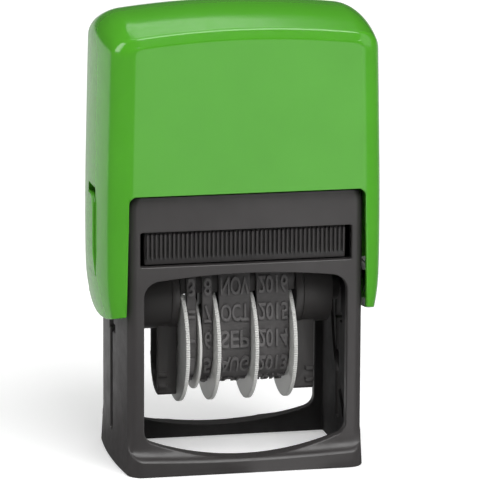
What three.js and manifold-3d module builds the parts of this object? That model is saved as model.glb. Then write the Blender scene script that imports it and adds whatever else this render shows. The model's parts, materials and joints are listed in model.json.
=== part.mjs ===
// Self-inking date stamp, in millimetres. Z is up, the front looks along -Y, and the base stands on Z = 0.
// The cap is at the top of its stroke: the type bands face up, against the ink pad.
import * as THREE from 'three';
import { mergeVertices } from 'three/addons/utils/BufferGeometryUtils.js';
import Module from 'manifold-3d';

const wasm = await Module();
wasm.setup();

// Stroke and clearances
const stroke = 29;
const runningGap = 0.3;
const pinGap = 0.2;
const boreGap = 0.25;
const padGap = 0.35;
const overrun = 0.5;

// Frame
const frameHalfWidth = 27;
const frameHalfDepth = 16.4;
const frameSideBow = 0.8;
const frameCornerRadius = 2;
const frameTopRadius = 5;
const sideWall = 1.9;
const frontWall = 2.7;
const rearWall = 2.1;
const ceilingThickness = 2;
const loftHeight = 8.1;

// Base of the frame
const lipProjection = 2.6;
const lipHeight = 2.6;
const lipRise = 0.9;
const coveHeight = 5.6;
const baseOverhang = 0.3;
const baseCornerRadius = 3.6;

// Ink cartridge and its slot
const slotFoot = 48.05;
const slotHeight = 7.85;
const slotPost = 2.64;
const railWidth = 2.76;
const railThickness = 1;
const traySideGap = 1.26;
const trayRecess = 1;
const trayCornerRadius = 0.5;
const padSideMargin = 3.3;
const padEndMargin = 2.8;
const padThickness = 3.4;
const gripRibs = 46;
const gripRibPitch = 1;
const gripRibWidth = 0.5;
const gripRibProjection = 0.5;
const gripRibHeight = 5.6;
const gripRibTopInset = 0.25;

// Windows in the front and rear walls
const windowPost = 3.7;
const windowFoot = 3.45;
const windowFootRadius = 62;
const windowLintel = 2.25;
const windowHeadRadius = 165;
const windowFootCorner = 3;
const windowHeadCorner = 3.6;

// Spring seat
const seatTubeRadius = 6.7;
const seatTubeBore = 5.3;
const seatTubeHeight = 6.6;
const stiffenerThickness = 1.2;
const stiffenerHeight = 4.2;

// Cap
const capSideGap = 2.7;
const capEndGap = 0.3;
const capFrontWall = 1.4;
const capSideWall = 1.7;
const capCrownWall = 2;
const crownRoom = 8.2;
const capCornerRadius = 5.3;
const capSideBow = 0.9;
const crownRadius = 205;
const crownCornerRadius = 8;
const faceDrop = 5.8;
const shoulderInset = 0.7;
const shoulderDrop = 3.5;
const bevelInset = 4.1;
const bevelDrop = 2.2;
const skirtLift = 5.1;
const skirtFootRise = 3.2;
const cutOutLap = 1.7;
const cutOutGap = 0.35;
const cutOutFlare = 0.45;
const cutOutCorner = 1.3;

// How wide the cap is at shares of its height above the skirt's edge
const capWidthShares = [
  { rise: -0.015, width: 0.946 },
  { rise: 0.02, width: 0.965 },
  { rise: 0.062, width: 0.9825 },
  { rise: 0.111, width: 0.995 },
  { rise: 0.181, width: 1 },
  { rise: 0.392, width: 1 },
  { rise: 0.646, width: 0.989 },
  { rise: 1.025, width: 0.968 },
];

// Parts moulded inside the cap
const guideRibOffset = 9;
const guideRibThickness = 1.2;
const guideRibLift = 12.9;
const guideRibDrop = 13.2;
const guideRibGap = 0.35;
const springRingRadius = 6.7;
const springRingBore = 5.2;
const springRingDepth = 6;
const bossRadius = 3.1;

// Lock buttons in the sides of the cap
const buttonHalfWidth = 4;
const buttonHeight = 18.7;
const buttonLead = 0.2;
const buttonHeadCorner = 2.6;
const buttonHeadGap = 1.7;
const buttonSlotCorner = 0.6;
const catchHalfWidth = 2;
const catchDrop = 6.2;
const catchHeight = 2.5;
const catchFrameGap = 0.5;

// Slots in the sides of the frame
const guideSlotTail = 1.4;
const catchSlotTail = 0.5;
const catchSlotLead = 1.3;
const catchSlotClearance = 0.4;
const detentHeight = 1.8;
const detentDepth = 1.8;

// Carriage
const trunnionRadius = 1.1;
const trunnionGrip = 1.4;
const fingerGap = 7;
const armWidth = 4.6;
const armPlate = 1.8;
const armHalfDepth = 4.5;
const armTail = 11.7;
const armHeelRadius = 7;
const armToeRadius = 0.8;
const armFlange = 1.3;
const armHeadRadius = 8.2;
const hubRadius = 7.9;
const hubWall = 1.6;
const hubSetback = 2.8;
const hubBossRadius = 3.4;
const hubFloor = 1.4;
const hubWebInset = 0.8;
const followerRadius = 1.1;
const followerReach = 6.2;
const grooveDepth = 1.2;
const lugHeight = 1.1;
const lugProjection = 0.5;
const lugLength = 2.1;

// The lugs on the front and rear of an arm, at shares of the way from its foot to the pivot
const lugShares = [
  { face: -1, rise: 0.073 },
  { face: -1, rise: 0.19 },
  { face: 1, rise: 0.315 },
];

// Wheels
const axleDrop = 11.5;
const axleRadius = 1.5;
const discRadius = 14;
const discThickness = 0.9;
const knurlTeeth = 80;
const knurlDepth = 0.3;
const drumTeeth = 14;
const drumToothDepth = 0.5;
const separatorRadius = 12;
const separatorThickness = 0.6;
const clipRadius = 2.8;
const clipThickness = 1;
const washerRadius = 3.2;
const washerThickness = 0.35;
const wheelGap = 0.25;

// Type bands, from left to right; each wheel has its disc on the side given
const wheelShares = [
  { name: 'day_tens', width: 0.1214, discFirst: true },
  { name: 'day_units', width: 0.1311, discFirst: false },
  { name: 'month', width: 0.3689, discFirst: false },
  { name: 'year', width: 0.3786, discFirst: false },
];
const separatorAfter = 'day_tens';
const bandThickness = 1.3;
const typeRise = 0.4;
const typeRows = 14;
const typeGroove = 0.45;
const bandWheelRadius = 8.1;
const bandSideGap = 0.2;
const bridgeHalfFlat = 3;
const bridgeTurnRadius = 4.3;
const bridgeDepth = 7;
const tenonHeight = 2.2;
const tenonTopInset = 1.4;

// Return spring
const springRadius = 4;
const wireRadius = 0.45;
const springCurls = 11;
const endCurlShare = 0.55;

// Facets
const filletSteps = 4;
const cornerSteps = 5;
const archSteps = 8;
const roundSteps = 24;
const pinSteps = 16;
const trackSteps = 24;
const padSteps = 5;
const bandSteps = 56;
const curlSteps = 8;
const wireSides = 5;
const leastTurn = 1e-4;

// Heights that follow from the above, from the pad's slot to the frame, the carriage and the cap
const slotHead = slotFoot + slotHeight;
const seatHeight = slotHead + ceilingThickness;
const frameTop = seatHeight + loftHeight;
const windowHead = slotFoot - windowLintel;
const typeHeight = slotFoot - padGap;
const bridgeHead = typeHeight - typeRise - bandThickness;
const bridgeFoot = bridgeHead - bridgeDepth;
const pivotHeight = (typeHeight + stroke + runningGap) / 2;
const axleHeight = pivotHeight - axleDrop;
const armFoot = axleHeight - armTail;
const catchFoot = frameTop - catchDrop;
const buttonHead = catchFoot + catchHeight + buttonLead;
const buttonRoot = buttonHead - buttonHeight;
const guideSlotFoot = pivotHeight - stroke - trunnionRadius - pinGap - guideSlotTail;
const catchSlotFoot = catchFoot - stroke - catchSlotTail;
const catchSlotHead = catchFoot + catchHeight + catchSlotLead;
const skirtFoot = stroke + skirtLift;
const cutOutHead = frameTop - cutOutLap;
const crownInside = frameTop + stroke + crownRoom;
const crownTop = crownInside + capCrownWall;
const guideRibFoot = skirtFoot + guideRibLift;
const guideRibHead = crownTop - guideRibDrop;

// Widths and depths, from the frame inwards and outwards
const frameInside = frameHalfWidth - sideWall;
const frameSide = frameHalfWidth + frameSideBow;
const windowHalfWidth = frameHalfWidth - windowPost;
const slotHalfWidth = frameHalfWidth - slotPost;
const railHalfGap = slotHalfWidth - railWidth;
const trayHalfWidth = slotHalfWidth - traySideGap;
const padHalfWidth = trayHalfWidth - padSideMargin;
const padHalfDepth = frameHalfDepth - trayRecess - padEndMargin;
const armOutside = frameInside - fingerGap;
const armInside = armOutside - armWidth;
const hubOutside = frameInside - runningGap;
const hubRim = hubOutside - hubSetback;
const bossInside = frameSide + baseOverhang + runningGap;
const trunnionEnd = bossInside + trunnionGrip;
const slotReach = frameSide + baseOverhang + overrun;
const cutOutHeadHalfWidth = frameHalfWidth + cutOutGap;
const cutOutFootHalfWidth = cutOutHeadHalfWidth + cutOutFlare;
const capHalfDepth = frameHalfDepth + capEndGap + capFrontWall;
const capHalfWidth = frameHalfWidth + capSideGap + capSideWall;
const capReach = capHalfWidth + capSideBow + overrun;
const capWidthStations = capWidthShares.map(({ rise, width }) => ({
  height: skirtFoot + (crownTop - skirtFoot) * rise,
  halfWidth: capHalfWidth * width,
}));
const crownHalfWidth = capWidthAt(crownTop - 2 * crownCornerRadius) + capSideBow;

// Colours of the mouldings, the rubber, the felt and the steel
const finishes = {
  frame: { color: 0x4a4847, roughness: 0.42, metalness: 0 },
  cap: { color: 0x58b038, roughness: 0.16, metalness: 0 },
  tray: { color: 0x403e3f, roughness: 0.5, metalness: 0 },
  felt: { color: 0x23242c, roughness: 0.95, metalness: 0 },
  carriage: { color: 0x363434, roughness: 0.45, metalness: 0 },
  disc: { color: 0xc4c5c2, roughness: 0.4, metalness: 0 },
  rubber: { color: 0x565555, roughness: 0.8, metalness: 0 },
  steel: { color: 0xb8babd, roughness: 0.25, metalness: 1 },
};

// Half-width of the cap's corners at a height
function capWidthAt(height) {
  const after = capWidthStations.findIndex(station => station.height > height);
  const [low, high] = capWidthStations.slice(after - 1, after + 1);
  const share = (height - low.height) / (high.height - low.height);
  return low.halfWidth + (high.halfWidth - low.halfWidth) * share;
}

// Flat outlines

const point = (x, y) => new THREE.Vector2(x, y);

function arc(x, y, radius, from, to, steps) {
  return Array.from({ length: steps + 1 }, (_, i) => {
    const angle = from + (to - from) * i / steps;
    return point(x + radius * Math.cos(angle), y + radius * Math.sin(angle));
  });
}

function circle(x, y, radius, steps = roundSteps) {
  return arc(x, y, radius, 0, 2 * Math.PI, steps).slice(0, -1);
}

// A polygon whose corners are [x, y, fillet radius]
function filleted(corners, steps = filletSteps) {
  return corners.flatMap(([x, y, radius], i) => {
    const corner = point(x, y);
    if (!radius) return [corner];
    const before = corners.at(i - 1);
    const after = corners[(i + 1) % corners.length];
    const back = point(before[0], before[1]).sub(corner).normalize();
    const ahead = point(after[0], after[1]).sub(corner).normalize();
    const half = Math.acos(back.dot(ahead)) / 2;
    const reach = radius / Math.tan(half);
    const centre = back.clone().add(ahead).setLength(radius / Math.sin(half)).add(corner);
    const start = back.multiplyScalar(reach).add(corner).sub(centre).angle();
    const end = ahead.multiplyScalar(reach).add(corner).sub(centre).angle();
    const turn = Math.atan2(Math.sin(end - start), Math.cos(end - start));
    return arc(centre.x, centre.y, radius, start, start + turn, steps);
  });
}

function rectangle(x0, x1, y0, y1, radius = 0) {
  return filleted([[x0, y0, radius], [x1, y0, radius], [x1, y1, radius], [x0, y1, radius]]);
}

// A ring of teeth, by two points a tooth
function toothed(x, y, tip, root, teeth) {
  return Array.from({ length: 2 * teeth }, (_, i) => {
    const radius = i % 2 ? root : tip;
    const angle = Math.PI * i / teeth;
    return point(x + radius * Math.cos(angle), y + radius * Math.sin(angle));
  });
}

// How far a circle of this radius has fallen away at a distance from its crest
const fall = (distance, radius) => radius - Math.sqrt(radius * radius - distance * distance);

// Plan of a housing whose sides are bowed outwards between round corners
function bowedPlan(halfWidth, halfDepth, bow, radius) {
  const straight = halfDepth - radius;
  const inner = halfWidth - radius;
  const side = sign => Array.from({ length: archSteps - 1 }, (_, i) => {
    const y = sign * straight * (2 * (i + 1) / archSteps - 1);
    return point(sign * (halfWidth + bow * (1 - (y / straight) ** 2)), y);
  });
  return [
    ...arc(inner, -straight, radius, -Math.PI / 2, 0, cornerSteps),
    ...side(1),
    ...arc(inner, straight, radius, 0, Math.PI / 2, cornerSteps),
    ...arc(-inner, straight, radius, Math.PI / 2, Math.PI, cornerSteps),
    ...side(-1),
    ...arc(-inner, -straight, radius, Math.PI, 1.5 * Math.PI, cornerSteps),
  ];
}

const bowAt = (y, straight, bow) => bow * (1 - (y / straight) ** 2);

// Closed solids

function toSolid(geometry) {
  const bare = geometry.clone();
  bare.deleteAttribute('normal');
  bare.deleteAttribute('uv');
  const merged = mergeVertices(bare);
  const vertProperties = new Float32Array(merged.getAttribute('position').array);
  const triVerts = new Uint32Array(merged.getIndex().array);
  return new wasm.Manifold(new wasm.Mesh({ numProp: 3, vertProperties, triVerts }));
}

const join = (...solids) => solids.reduce((sum, solid) => sum.add(solid));
const cut = (solid, ...tools) => tools.reduce((rest, tool) => rest.subtract(tool), solid);
const common = (...solids) => solids.reduce((rest, solid) => rest.intersect(solid));

// The points of an outline that turn it, without those along a straight
function turning(outline) {
  return outline.filter((p, i) => {
    const before = p.clone().sub(outline.at(i - 1)).normalize();
    const after = outline[(i + 1) % outline.length].clone().sub(p).normalize();
    return Math.abs(before.cross(after)) > leastTurn;
  });
}

// An outline pushed from one place to another along an axis
function extruded(outline, from, to, basis) {
  const shape = new THREE.Shape(turning(outline));
  const depth = Math.abs(to - from);
  const geometry = new THREE.ExtrudeGeometry(shape, { depth, bevelEnabled: false, steps: 1 });
  geometry.translate(0, 0, Math.min(from, to));
  geometry.applyMatrix4(basis);
  return toSolid(geometry);
}

const axisX = new THREE.Vector3(1, 0, 0);
const axisY = new THREE.Vector3(0, 1, 0);
const axisZ = new THREE.Vector3(0, 0, 1);
const acrossBasis = new THREE.Matrix4().makeBasis(axisY, axisZ, axisX);
const deepBasis = new THREE.Matrix4().makeBasis(axisX, axisZ, axisY.clone().negate());
const uprightBasis = new THREE.Matrix4();

// Outlines in (y, z), in (x, z) and in (x, y)
const alongX = (outline, from, to) => extruded(outline, from, to, acrossBasis);
const alongY = (outline, from, to) => extruded(outline, -to, -from, deepBasis);
const alongZ = (outline, from, to) => extruded(outline, from, to, uprightBasis);
const block = (x0, x1, y0, y1, z0, z1, radius) => alongZ(rectangle(x0, x1, y0, y1, radius), z0, z1);

function tube(along, outer, bore, from, to) {
  return cut(along(outer, from, to), along(bore, from - overrun, to + overrun));
}

// A skin over a row of sections with the same number of points, closed at both ends
function lofted(sections, place) {
  const count = sections[0].outline.length;
  const positions = sections.flatMap(({ at, outline }) => outline.flatMap(p => place(p, at)));
  const index = [];
  for (let s = 0; s < sections.length - 1; s += 1) {
    for (let i = 0; i < count; i += 1) {
      const a = s * count + i;
      const b = s * count + (i + 1) % count;
      index.push(a, b, b + count, a, b + count, a + count);
    }
  }
  const last = (sections.length - 1) * count;
  for (const [a, b, c] of THREE.ShapeUtils.triangulateShape(sections[0].outline, [])) {
    index.push(c, b, a);
  }
  for (const [a, b, c] of THREE.ShapeUtils.triangulateShape(sections.at(-1).outline, [])) {
    index.push(last + a, last + b, last + c);
  }
  const geometry = new THREE.BufferGeometry();
  geometry.setAttribute('position', new THREE.Float32BufferAttribute(positions, 3));
  geometry.setIndex(index);
  return toSolid(geometry);
}

const placeAcross = (p, x) => [x, p.x, p.y];
const placeUpright = (p, z) => [p.x, p.y, z];

// Frame

function archedOutline() {
  const footAt = x => windowFoot + fall(x, windowFootRadius);
  const headAt = x => windowHead - fall(x, windowHeadRadius);
  const reach = windowHalfWidth - Math.max(windowHeadCorner, windowFootCorner) - overrun;
  const across = Array.from({ length: archSteps + 1 }, (_, i) => reach * (2 * i / archSteps - 1));
  return filleted([
    [-windowHalfWidth, footAt(windowHalfWidth), windowFootCorner],
    ...across.map(x => [x, footAt(x), 0]),
    [windowHalfWidth, footAt(windowHalfWidth), windowFootCorner],
    [windowHalfWidth, headAt(windowHalfWidth), windowHeadCorner],
    ...across.toReversed().map(x => [x, headAt(x), 0]),
    [-windowHalfWidth, headAt(windowHalfWidth), windowHeadCorner],
  ]);
}

// The foot: sides with a slight draft, and a lip in front and behind under a hollow cove
function baseBlock() {
  const reach = frameHalfWidth + baseOverhang + frameSideBow + overrun;
  const sections = Array.from({ length: archSteps + 1 }, (_, i) => {
    const x = reach * (2 * i / archSteps - 1);
    const lip = lipHeight + lipRise * (x / frameHalfWidth) ** 2;
    const cove = sign => arc(0, 0, 1, 0, Math.PI / 2, cornerSteps).map(unit => point(
      sign * (frameHalfDepth + lipProjection * (1 - unit.y)),
      lip + coveHeight * (1 - unit.x),
    ));
    const rear = cove(1);
    const front = cove(-1).toReversed();
    const halfBase = frameHalfDepth + lipProjection;
    return { at: x, outline: [point(-halfBase, 0), point(halfBase, 0), ...rear, ...front] };
  });
  const planAt = (at, overhang) => ({
    at,
    outline: bowedPlan(
      frameHalfWidth + overhang,
      frameHalfDepth + lipProjection,
      frameSideBow,
      baseCornerRadius,
    ),
  });
  const head = lipHeight + lipRise + coveHeight + overrun;
  const drafted = lofted([planAt(0, baseOverhang), planAt(head, 0)], placeUpright);
  return common(lofted(sections, placeAcross), drafted);
}

// Where the follower pin is when the cap has made a share of its stroke
function followerAt(share) {
  const turn = Math.PI * share;
  const pivot = pivotHeight - stroke * share;
  return point(followerReach * Math.cos(turn), pivot - followerReach * Math.sin(turn));
}

// The way the follower pin heads there
function followerHeading(share) {
  const turn = Math.PI * share;
  const sink = stroke / Math.PI;
  return point(-followerReach * Math.sin(turn), -followerReach * Math.cos(turn) - sink).angle();
}

// The cam groove follows the pin through the half turn of the carriage
function grooveOutline() {
  const halfWidth = followerRadius + pinGap;
  const quarter = Math.PI / 2;
  const shares = Array.from({ length: trackSteps + 1 }, (_, i) => i / trackSteps);
  const beside = (share, sign) => {
    const angle = followerHeading(share) + sign * quarter;
    return followerAt(share).add(point(halfWidth * Math.cos(angle), halfWidth * Math.sin(angle)));
  };
  const roundEnd = (share, turn) => {
    const { x, y } = followerAt(share);
    const heading = followerHeading(share) + turn;
    return arc(x, y, halfWidth, heading - quarter, heading + quarter, filletSteps).slice(1, -1);
  };
  return [
    ...shares.map(share => beside(share, -1)),
    ...roundEnd(1, 0),
    ...shares.toReversed().map(share => beside(share, 1)),
    ...roundEnd(0, Math.PI),
  ];
}

// Narrow for the trunnion, wide above for the catch of the lock button, with a detent at the step
function sideSlotOutline() {
  const narrow = trunnionRadius + pinGap;
  const wide = catchHalfWidth + catchSlotClearance;
  return filleted([
    [-narrow, guideSlotFoot, narrow / 2],
    [narrow, guideSlotFoot, narrow / 2],
    [narrow, catchSlotFoot, 0],
    [wide, catchSlotFoot, 0],
    [wide, catchSlotHead, wide / 2],
    [-wide, catchSlotHead, wide / 2],
    [-wide, catchSlotFoot + detentHeight, 0],
    [-wide - detentDepth, catchSlotFoot + detentHeight, 0],
    [-wide - detentDepth, catchSlotFoot, 0],
    [-narrow, catchSlotFoot, 0],
  ]);
}

function frameShell() {
  const insideFront = -frameHalfDepth + frontWall;
  const insideRear = frameHalfDepth - rearWall;
  const through = frameHalfDepth + lipProjection + overrun;
  const plan = bowedPlan(frameHalfWidth, frameHalfDepth, frameSideBow, frameCornerRadius);
  const head = filleted([
    [-slotReach, -overrun, 0],
    [slotReach, -overrun, 0],
    [slotReach, frameTop - frameTopRadius, 0],
    [frameHalfWidth, frameTop, frameTopRadius],
    [-frameHalfWidth, frameTop, frameTopRadius],
    [-slotReach, frameTop - frameTopRadius, 0],
  ]);
  const body = common(join(alongZ(plan, 0, frameTop), baseBlock()), alongY(head, -through, through));
  const chamber = block(-frameInside, frameInside, insideFront, insideRear, -overrun, slotHead);
  const loft = block(-frameInside, frameInside, insideFront, insideRear, seatHeight, frameTop + overrun);
  const window = alongY(archedOutline(), -through, through);
  const slot = alongY(rectangle(-slotHalfWidth, slotHalfWidth, slotFoot, slotHead), -through, through);
  let shell = cut(body, chamber, loft, window, slot);
  const railHead = slotFoot - runningGap;
  const railFoot = railHead - railThickness;
  const railProfile = rectangle(insideFront - overrun, insideRear + overrun, railFoot, railHead);
  const ribFoot = seatHeight - overrun;
  const ribHead = seatHeight + stiffenerHeight;
  for (const side of [-1, 1]) {
    const wallFace = side * (frameInside - overrun);
    const wallRoot = side * (frameInside + overrun);
    shell = cut(
      shell,
      alongX(sideSlotOutline(), wallFace, side * slotReach),
      alongX(grooveOutline(), wallFace, side * (frameInside + grooveDepth)),
    );
    const rail = alongX(railProfile, side * railHalfGap, wallRoot);
    const sideRib = alongY(
      rectangle(side * seatTubeBore, wallRoot, ribFoot, ribHead),
      -stiffenerThickness / 2,
      stiffenerThickness / 2,
    );
    shell = join(shell, rail, sideRib);
  }
  const seatTube = alongZ(circle(0, 0, seatTubeRadius), ribFoot, seatHeight + seatTubeHeight);
  const crossRib = block(
    -stiffenerThickness / 2,
    stiffenerThickness / 2,
    insideFront - overrun,
    insideRear + overrun,
    ribFoot,
    ribHead,
  );
  const seatBore = alongZ(circle(0, 0, seatTubeBore), seatHeight, seatHeight + seatTubeHeight + overrun);
  return cut(join(shell, seatTube, crossRib), seatBore);
}

// Ink cartridge

function inkCartridge() {
  const foot = slotFoot + runningGap;
  const head = slotHead - runningGap;
  const front = -frameHalfDepth + trayRecess;
  const rear = frameHalfDepth - trayRecess;
  const tray = block(-trayHalfWidth, trayHalfWidth, front, rear, foot, head, trayCornerRadius);
  const pocketWidth = padHalfWidth + runningGap;
  const pocketDepth = padHalfDepth + runningGap;
  const pocketHead = slotFoot + padThickness + runningGap;
  const pocket = block(-pocketWidth, pocketWidth, -pocketDepth, pocketDepth, foot - overrun, pocketHead);
  const first = -gripRibPitch * (gripRibs - 1) / 2;
  const comb = Array.from({ length: gripRibs }, (_, i) => first + gripRibPitch * i).flatMap(x => [
    point(x - gripRibWidth / 2, front),
    point(x - gripRibWidth / 2, front - gripRibProjection),
    point(x + gripRibWidth / 2, front - gripRibProjection),
    point(x + gripRibWidth / 2, front),
  ]);
  const back = front + overrun;
  const outline = [...comb, point(trayHalfWidth - overrun, back), point(-trayHalfWidth + overrun, back)];
  const ribHead = head - gripRibTopInset;
  return join(cut(tray, pocket), alongZ(outline, ribHead - gripRibHeight, ribHead));
}

function inkPad() {
  return block(
    -padHalfWidth, padHalfWidth,
    -padHalfDepth, padHalfDepth,
    slotFoot, slotFoot + padThickness,
    trayCornerRadius,
  );
}

// Cap

// How far the crown has fallen away beside the middle line
function crownFall(x) {
  const straight = crownHalfWidth - crownCornerRadius;
  const beside = Math.abs(x) - straight;
  const main = fall(Math.min(Math.abs(x), straight), crownRadius);
  return beside <= 0 ? main : main + fall(Math.min(beside, crownCornerRadius), crownCornerRadius);
}

// Places across the cap, close together round its top corners
function crownStations(margin) {
  const straight = crownHalfWidth - crownCornerRadius;
  const middle = Array.from({ length: archSteps + 1 }, (_, i) => straight * (2 * i / archSteps - 1));
  const turn = Array.from({ length: cornerSteps + 1 }, (_, i) => {
    return straight + crownCornerRadius * Math.sin(Math.PI / 2 * (i + 1) / (cornerSteps + 1));
  });
  return [
    -crownHalfWidth - margin,
    ...turn.toReversed().map(x => -x),
    ...middle,
    ...turn,
    crownHalfWidth + margin,
  ];
}

// Side view of the cap: upright faces, a shoulder, a bevel and the round crown
function crownProfile(lower, inset, foot) {
  const halfDepth = capHalfDepth - inset;
  const head = crownTop - lower;
  const bevelY = halfDepth - shoulderInset - bevelInset;
  const radius = (bevelY ** 2 + bevelDrop ** 2) / (2 * bevelDrop);
  const crown = Array.from({ length: archSteps + 1 }, (_, i) => {
    const y = bevelY * (1 - 2 * i / archSteps);
    return point(y, head - fall(y, radius));
  });
  return [
    point(-halfDepth, foot),
    point(halfDepth, foot),
    point(halfDepth, head - faceDrop),
    point(halfDepth - shoulderInset, head - shoulderDrop),
    ...crown,
    point(-halfDepth + shoulderInset, head - shoulderDrop),
    point(-halfDepth, head - faceDrop),
  ];
}

// A cap-shaped solid, smaller than the outside of the cap by the given walls
function capForm(side, front, crown, foot) {
  const stations = crownStations(overrun + capSideBow).map(x => {
    const profile = crownProfile(crown, front, foot);
    return {
      at: x,
      outline: profile.map((p, i) => (i < 2 ? p : point(p.x, p.y - crownFall(x)))),
    };
  });
  const plans = capWidthStations.map(({ height, halfWidth }) => ({
    at: height,
    outline: bowedPlan(halfWidth - side, capHalfDepth - front, capSideBow, capCornerRadius - front),
  }));
  return common(lofted(stations, placeAcross), lofted(plans, placeUpright));
}

// Side view of the skirt: its lower edge is an arch that is lowest in the middle
function skirtOutline() {
  const radius = (capHalfDepth ** 2 + skirtFootRise ** 2) / (2 * skirtFootRise);
  const foot = Array.from({ length: archSteps + 1 }, (_, i) => {
    const y = capHalfDepth * (2 * i / archSteps - 1);
    return point(y, skirtFoot + fall(y, radius));
  });
  return [...foot, point(capHalfDepth, crownTop + overrun), point(-capHalfDepth, crownTop + overrun)];
}

function buttonOutline(margin, headMargin, foot, corner) {
  const half = buttonHalfWidth + margin;
  return filleted([
    [-half, foot, 0],
    [half, foot, 0],
    [half, buttonHead + headMargin, corner],
    [-half, buttonHead + headMargin, corner],
  ]);
}

// The moulding before the lock buttons are parted from it
function capWalls() {
  const foot = capWidthStations[0].height;
  const outer = common(
    capForm(0, 0, 0, foot - overrun),
    alongX(skirtOutline(), -capReach, capReach),
  );
  const inner = capForm(capSideWall, capFrontWall, capCrownWall, foot - 2 * overrun);
  const through = capHalfDepth + overrun;
  const cutOut = alongY(filleted([
    [-cutOutFootHalfWidth, skirtFoot - overrun, 0],
    [cutOutFootHalfWidth, skirtFoot - overrun, 0],
    [cutOutHeadHalfWidth, cutOutHead, cutOutCorner],
    [-cutOutHeadHalfWidth, cutOutHead, cutOutCorner],
  ]), -through, through);
  return { outer, walls: cut(outer, inner, cutOut) };
}

function capShell({ outer, walls }) {
  const straight = frameHalfDepth - frameCornerRadius;
  const ribInside = frameHalfWidth + bowAt(guideRibOffset, straight, frameSideBow) + guideRibGap;
  let shell = walls;
  for (const side of [-1, 1]) {
    const slot = buttonOutline(runningGap, buttonHeadGap, buttonRoot - runningGap, buttonSlotCorner);
    shell = cut(shell, alongX(slot, side * frameSide, side * capReach));
    for (const offset of [-guideRibOffset, guideRibOffset]) {
      const rib = alongY(
        rectangle(side * ribInside, side * capReach, guideRibFoot, guideRibHead),
        offset - guideRibThickness / 2,
        offset + guideRibThickness / 2,
      );
      shell = join(shell, common(rib, outer));
    }
    const boss = alongX(circle(0, pivotHeight, bossRadius), side * bossInside, side * capReach);
    const socket = alongX(
      circle(0, pivotHeight, trunnionRadius + boreGap, pinSteps),
      side * (bossInside - overrun),
      side * (trunnionEnd + runningGap),
    );
    shell = cut(join(shell, common(boss, outer)), socket);
  }
  const ring = tube(
    alongZ,
    circle(0, 0, springRingRadius),
    circle(0, 0, springRingBore),
    crownInside - springRingDepth,
    crownInside + overrun,
  );
  return join(shell, common(ring, outer));
}

function lockButton(side, { walls }) {
  const outline = buttonOutline(0, 0, buttonRoot, buttonHeadCorner);
  const tongue = common(walls, alongX(outline, side * frameSide, side * capReach));
  const catchInside = frameSide + catchFrameGap;
  const tooth = alongY(
    rectangle(side * catchInside, side * capHalfWidth, catchFoot, catchFoot + catchHeight),
    -catchHalfWidth,
    catchHalfWidth,
  );
  return join(tongue, tooth);
}

// Carriage

function armOutline(inset) {
  return filleted([
    [-armHalfDepth + inset, armFoot + inset, Math.max(armToeRadius - inset, 0)],
    [armHalfDepth - inset, armFoot + inset, armHeelRadius - inset],
    [armHalfDepth - inset, pivotHeight, 0],
    [-armHalfDepth + inset, pivotHeight, 0],
  ]);
}

function carriageArm(side) {
  const at = x => side * x;
  const plateFace = armInside + armPlate;
  const hubFace = armOutside + hubFloor;
  const followerEnd = frameInside + grooveDepth - runningGap;
  const disc = (y, z, radius, from, to, steps) => alongX(circle(y, z, radius, steps), at(from), at(to));
  const leg = cut(
    alongX(armOutline(0), at(armInside), at(armOutside)),
    alongX(armOutline(armFlange), at(plateFace), at(armOutside + overrun)),
  );
  const head = disc(0, pivotHeight, armHeadRadius, armInside, plateFace);
  const hub = disc(0, pivotHeight, hubRadius, armInside, hubRim);
  const hubHollow = disc(0, pivotHeight, hubRadius - hubWall, hubFace, hubRim + overrun);
  const boss = disc(0, pivotHeight, hubBossRadius, plateFace, hubOutside, pinSteps);
  const trunnion = disc(0, pivotHeight, trunnionRadius, hubOutside - overrun, trunnionEnd, pinSteps);
  const pin = followerAt(0);
  const follower = disc(pin.x, pin.y, followerRadius, hubFace - overrun, followerEnd, pinSteps);
  const webReach = hubRadius - hubWall / 2;
  const web = (halfY, halfZ) => alongX(
    rectangle(-halfY, halfY, pivotHeight - halfZ, pivotHeight + halfZ),
    at(hubFace - overrun),
    at(hubRim - hubWebInset),
  );
  const webs = [web(stiffenerThickness / 2, webReach), web(webReach, stiffenerThickness / 2)];
  const lugSolids = lugShares.map(({ face, rise }) => {
    const root = face * (armHalfDepth - overrun);
    const foot = armFoot + (pivotHeight - armFoot) * rise;
    const outline = rectangle(root, face * (armHalfDepth + lugProjection), foot, foot + lugHeight);
    return alongX(outline, at(armOutside - lugLength), at(armOutside));
  });
  const arm = join(cut(join(leg, head, hub), hubHollow), boss, trunnion, follower, ...webs, ...lugSolids);
  const holeFrom = armInside - overrun;
  const holeTo = plateFace + overrun;
  return cut(
    arm,
    disc(0, axleHeight, axleRadius + boreGap, holeFrom, holeTo, pinSteps),
    alongX(tenonOutline(runningGap), at(holeFrom), at(holeTo)),
  );
}

// The end of the bridge that is held in the arm
function tenonOutline(margin) {
  const half = bridgeHalfFlat + margin;
  const head = bridgeHead - tenonTopInset;
  return rectangle(-half, half, head - tenonHeight - margin, head + margin);
}

function typeBridge() {
  const turn = bridgeTurnRadius - boreGap;
  const halfWidth = bridgeHalfFlat + turn;
  const head = bridgeHead - boreGap;
  const reach = armInside - runningGap;
  const bar = alongX(filleted([
    [-halfWidth, bridgeFoot, 0],
    [halfWidth, bridgeFoot, 0],
    [halfWidth, head, turn],
    [-halfWidth, head, turn],
  ], 2 * filletSteps), -reach, reach);
  const reliefOutline = circle(0, axleHeight, discRadius + runningGap, 2 * roundSteps);
  const relief = alongX(reliefOutline, -armInside, armInside);
  const tenons = alongX(tenonOutline(0), -armInside - armPlate, armInside + armPlate);
  return join(cut(bar, relief), tenons);
}

// Wheels and bands

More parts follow.
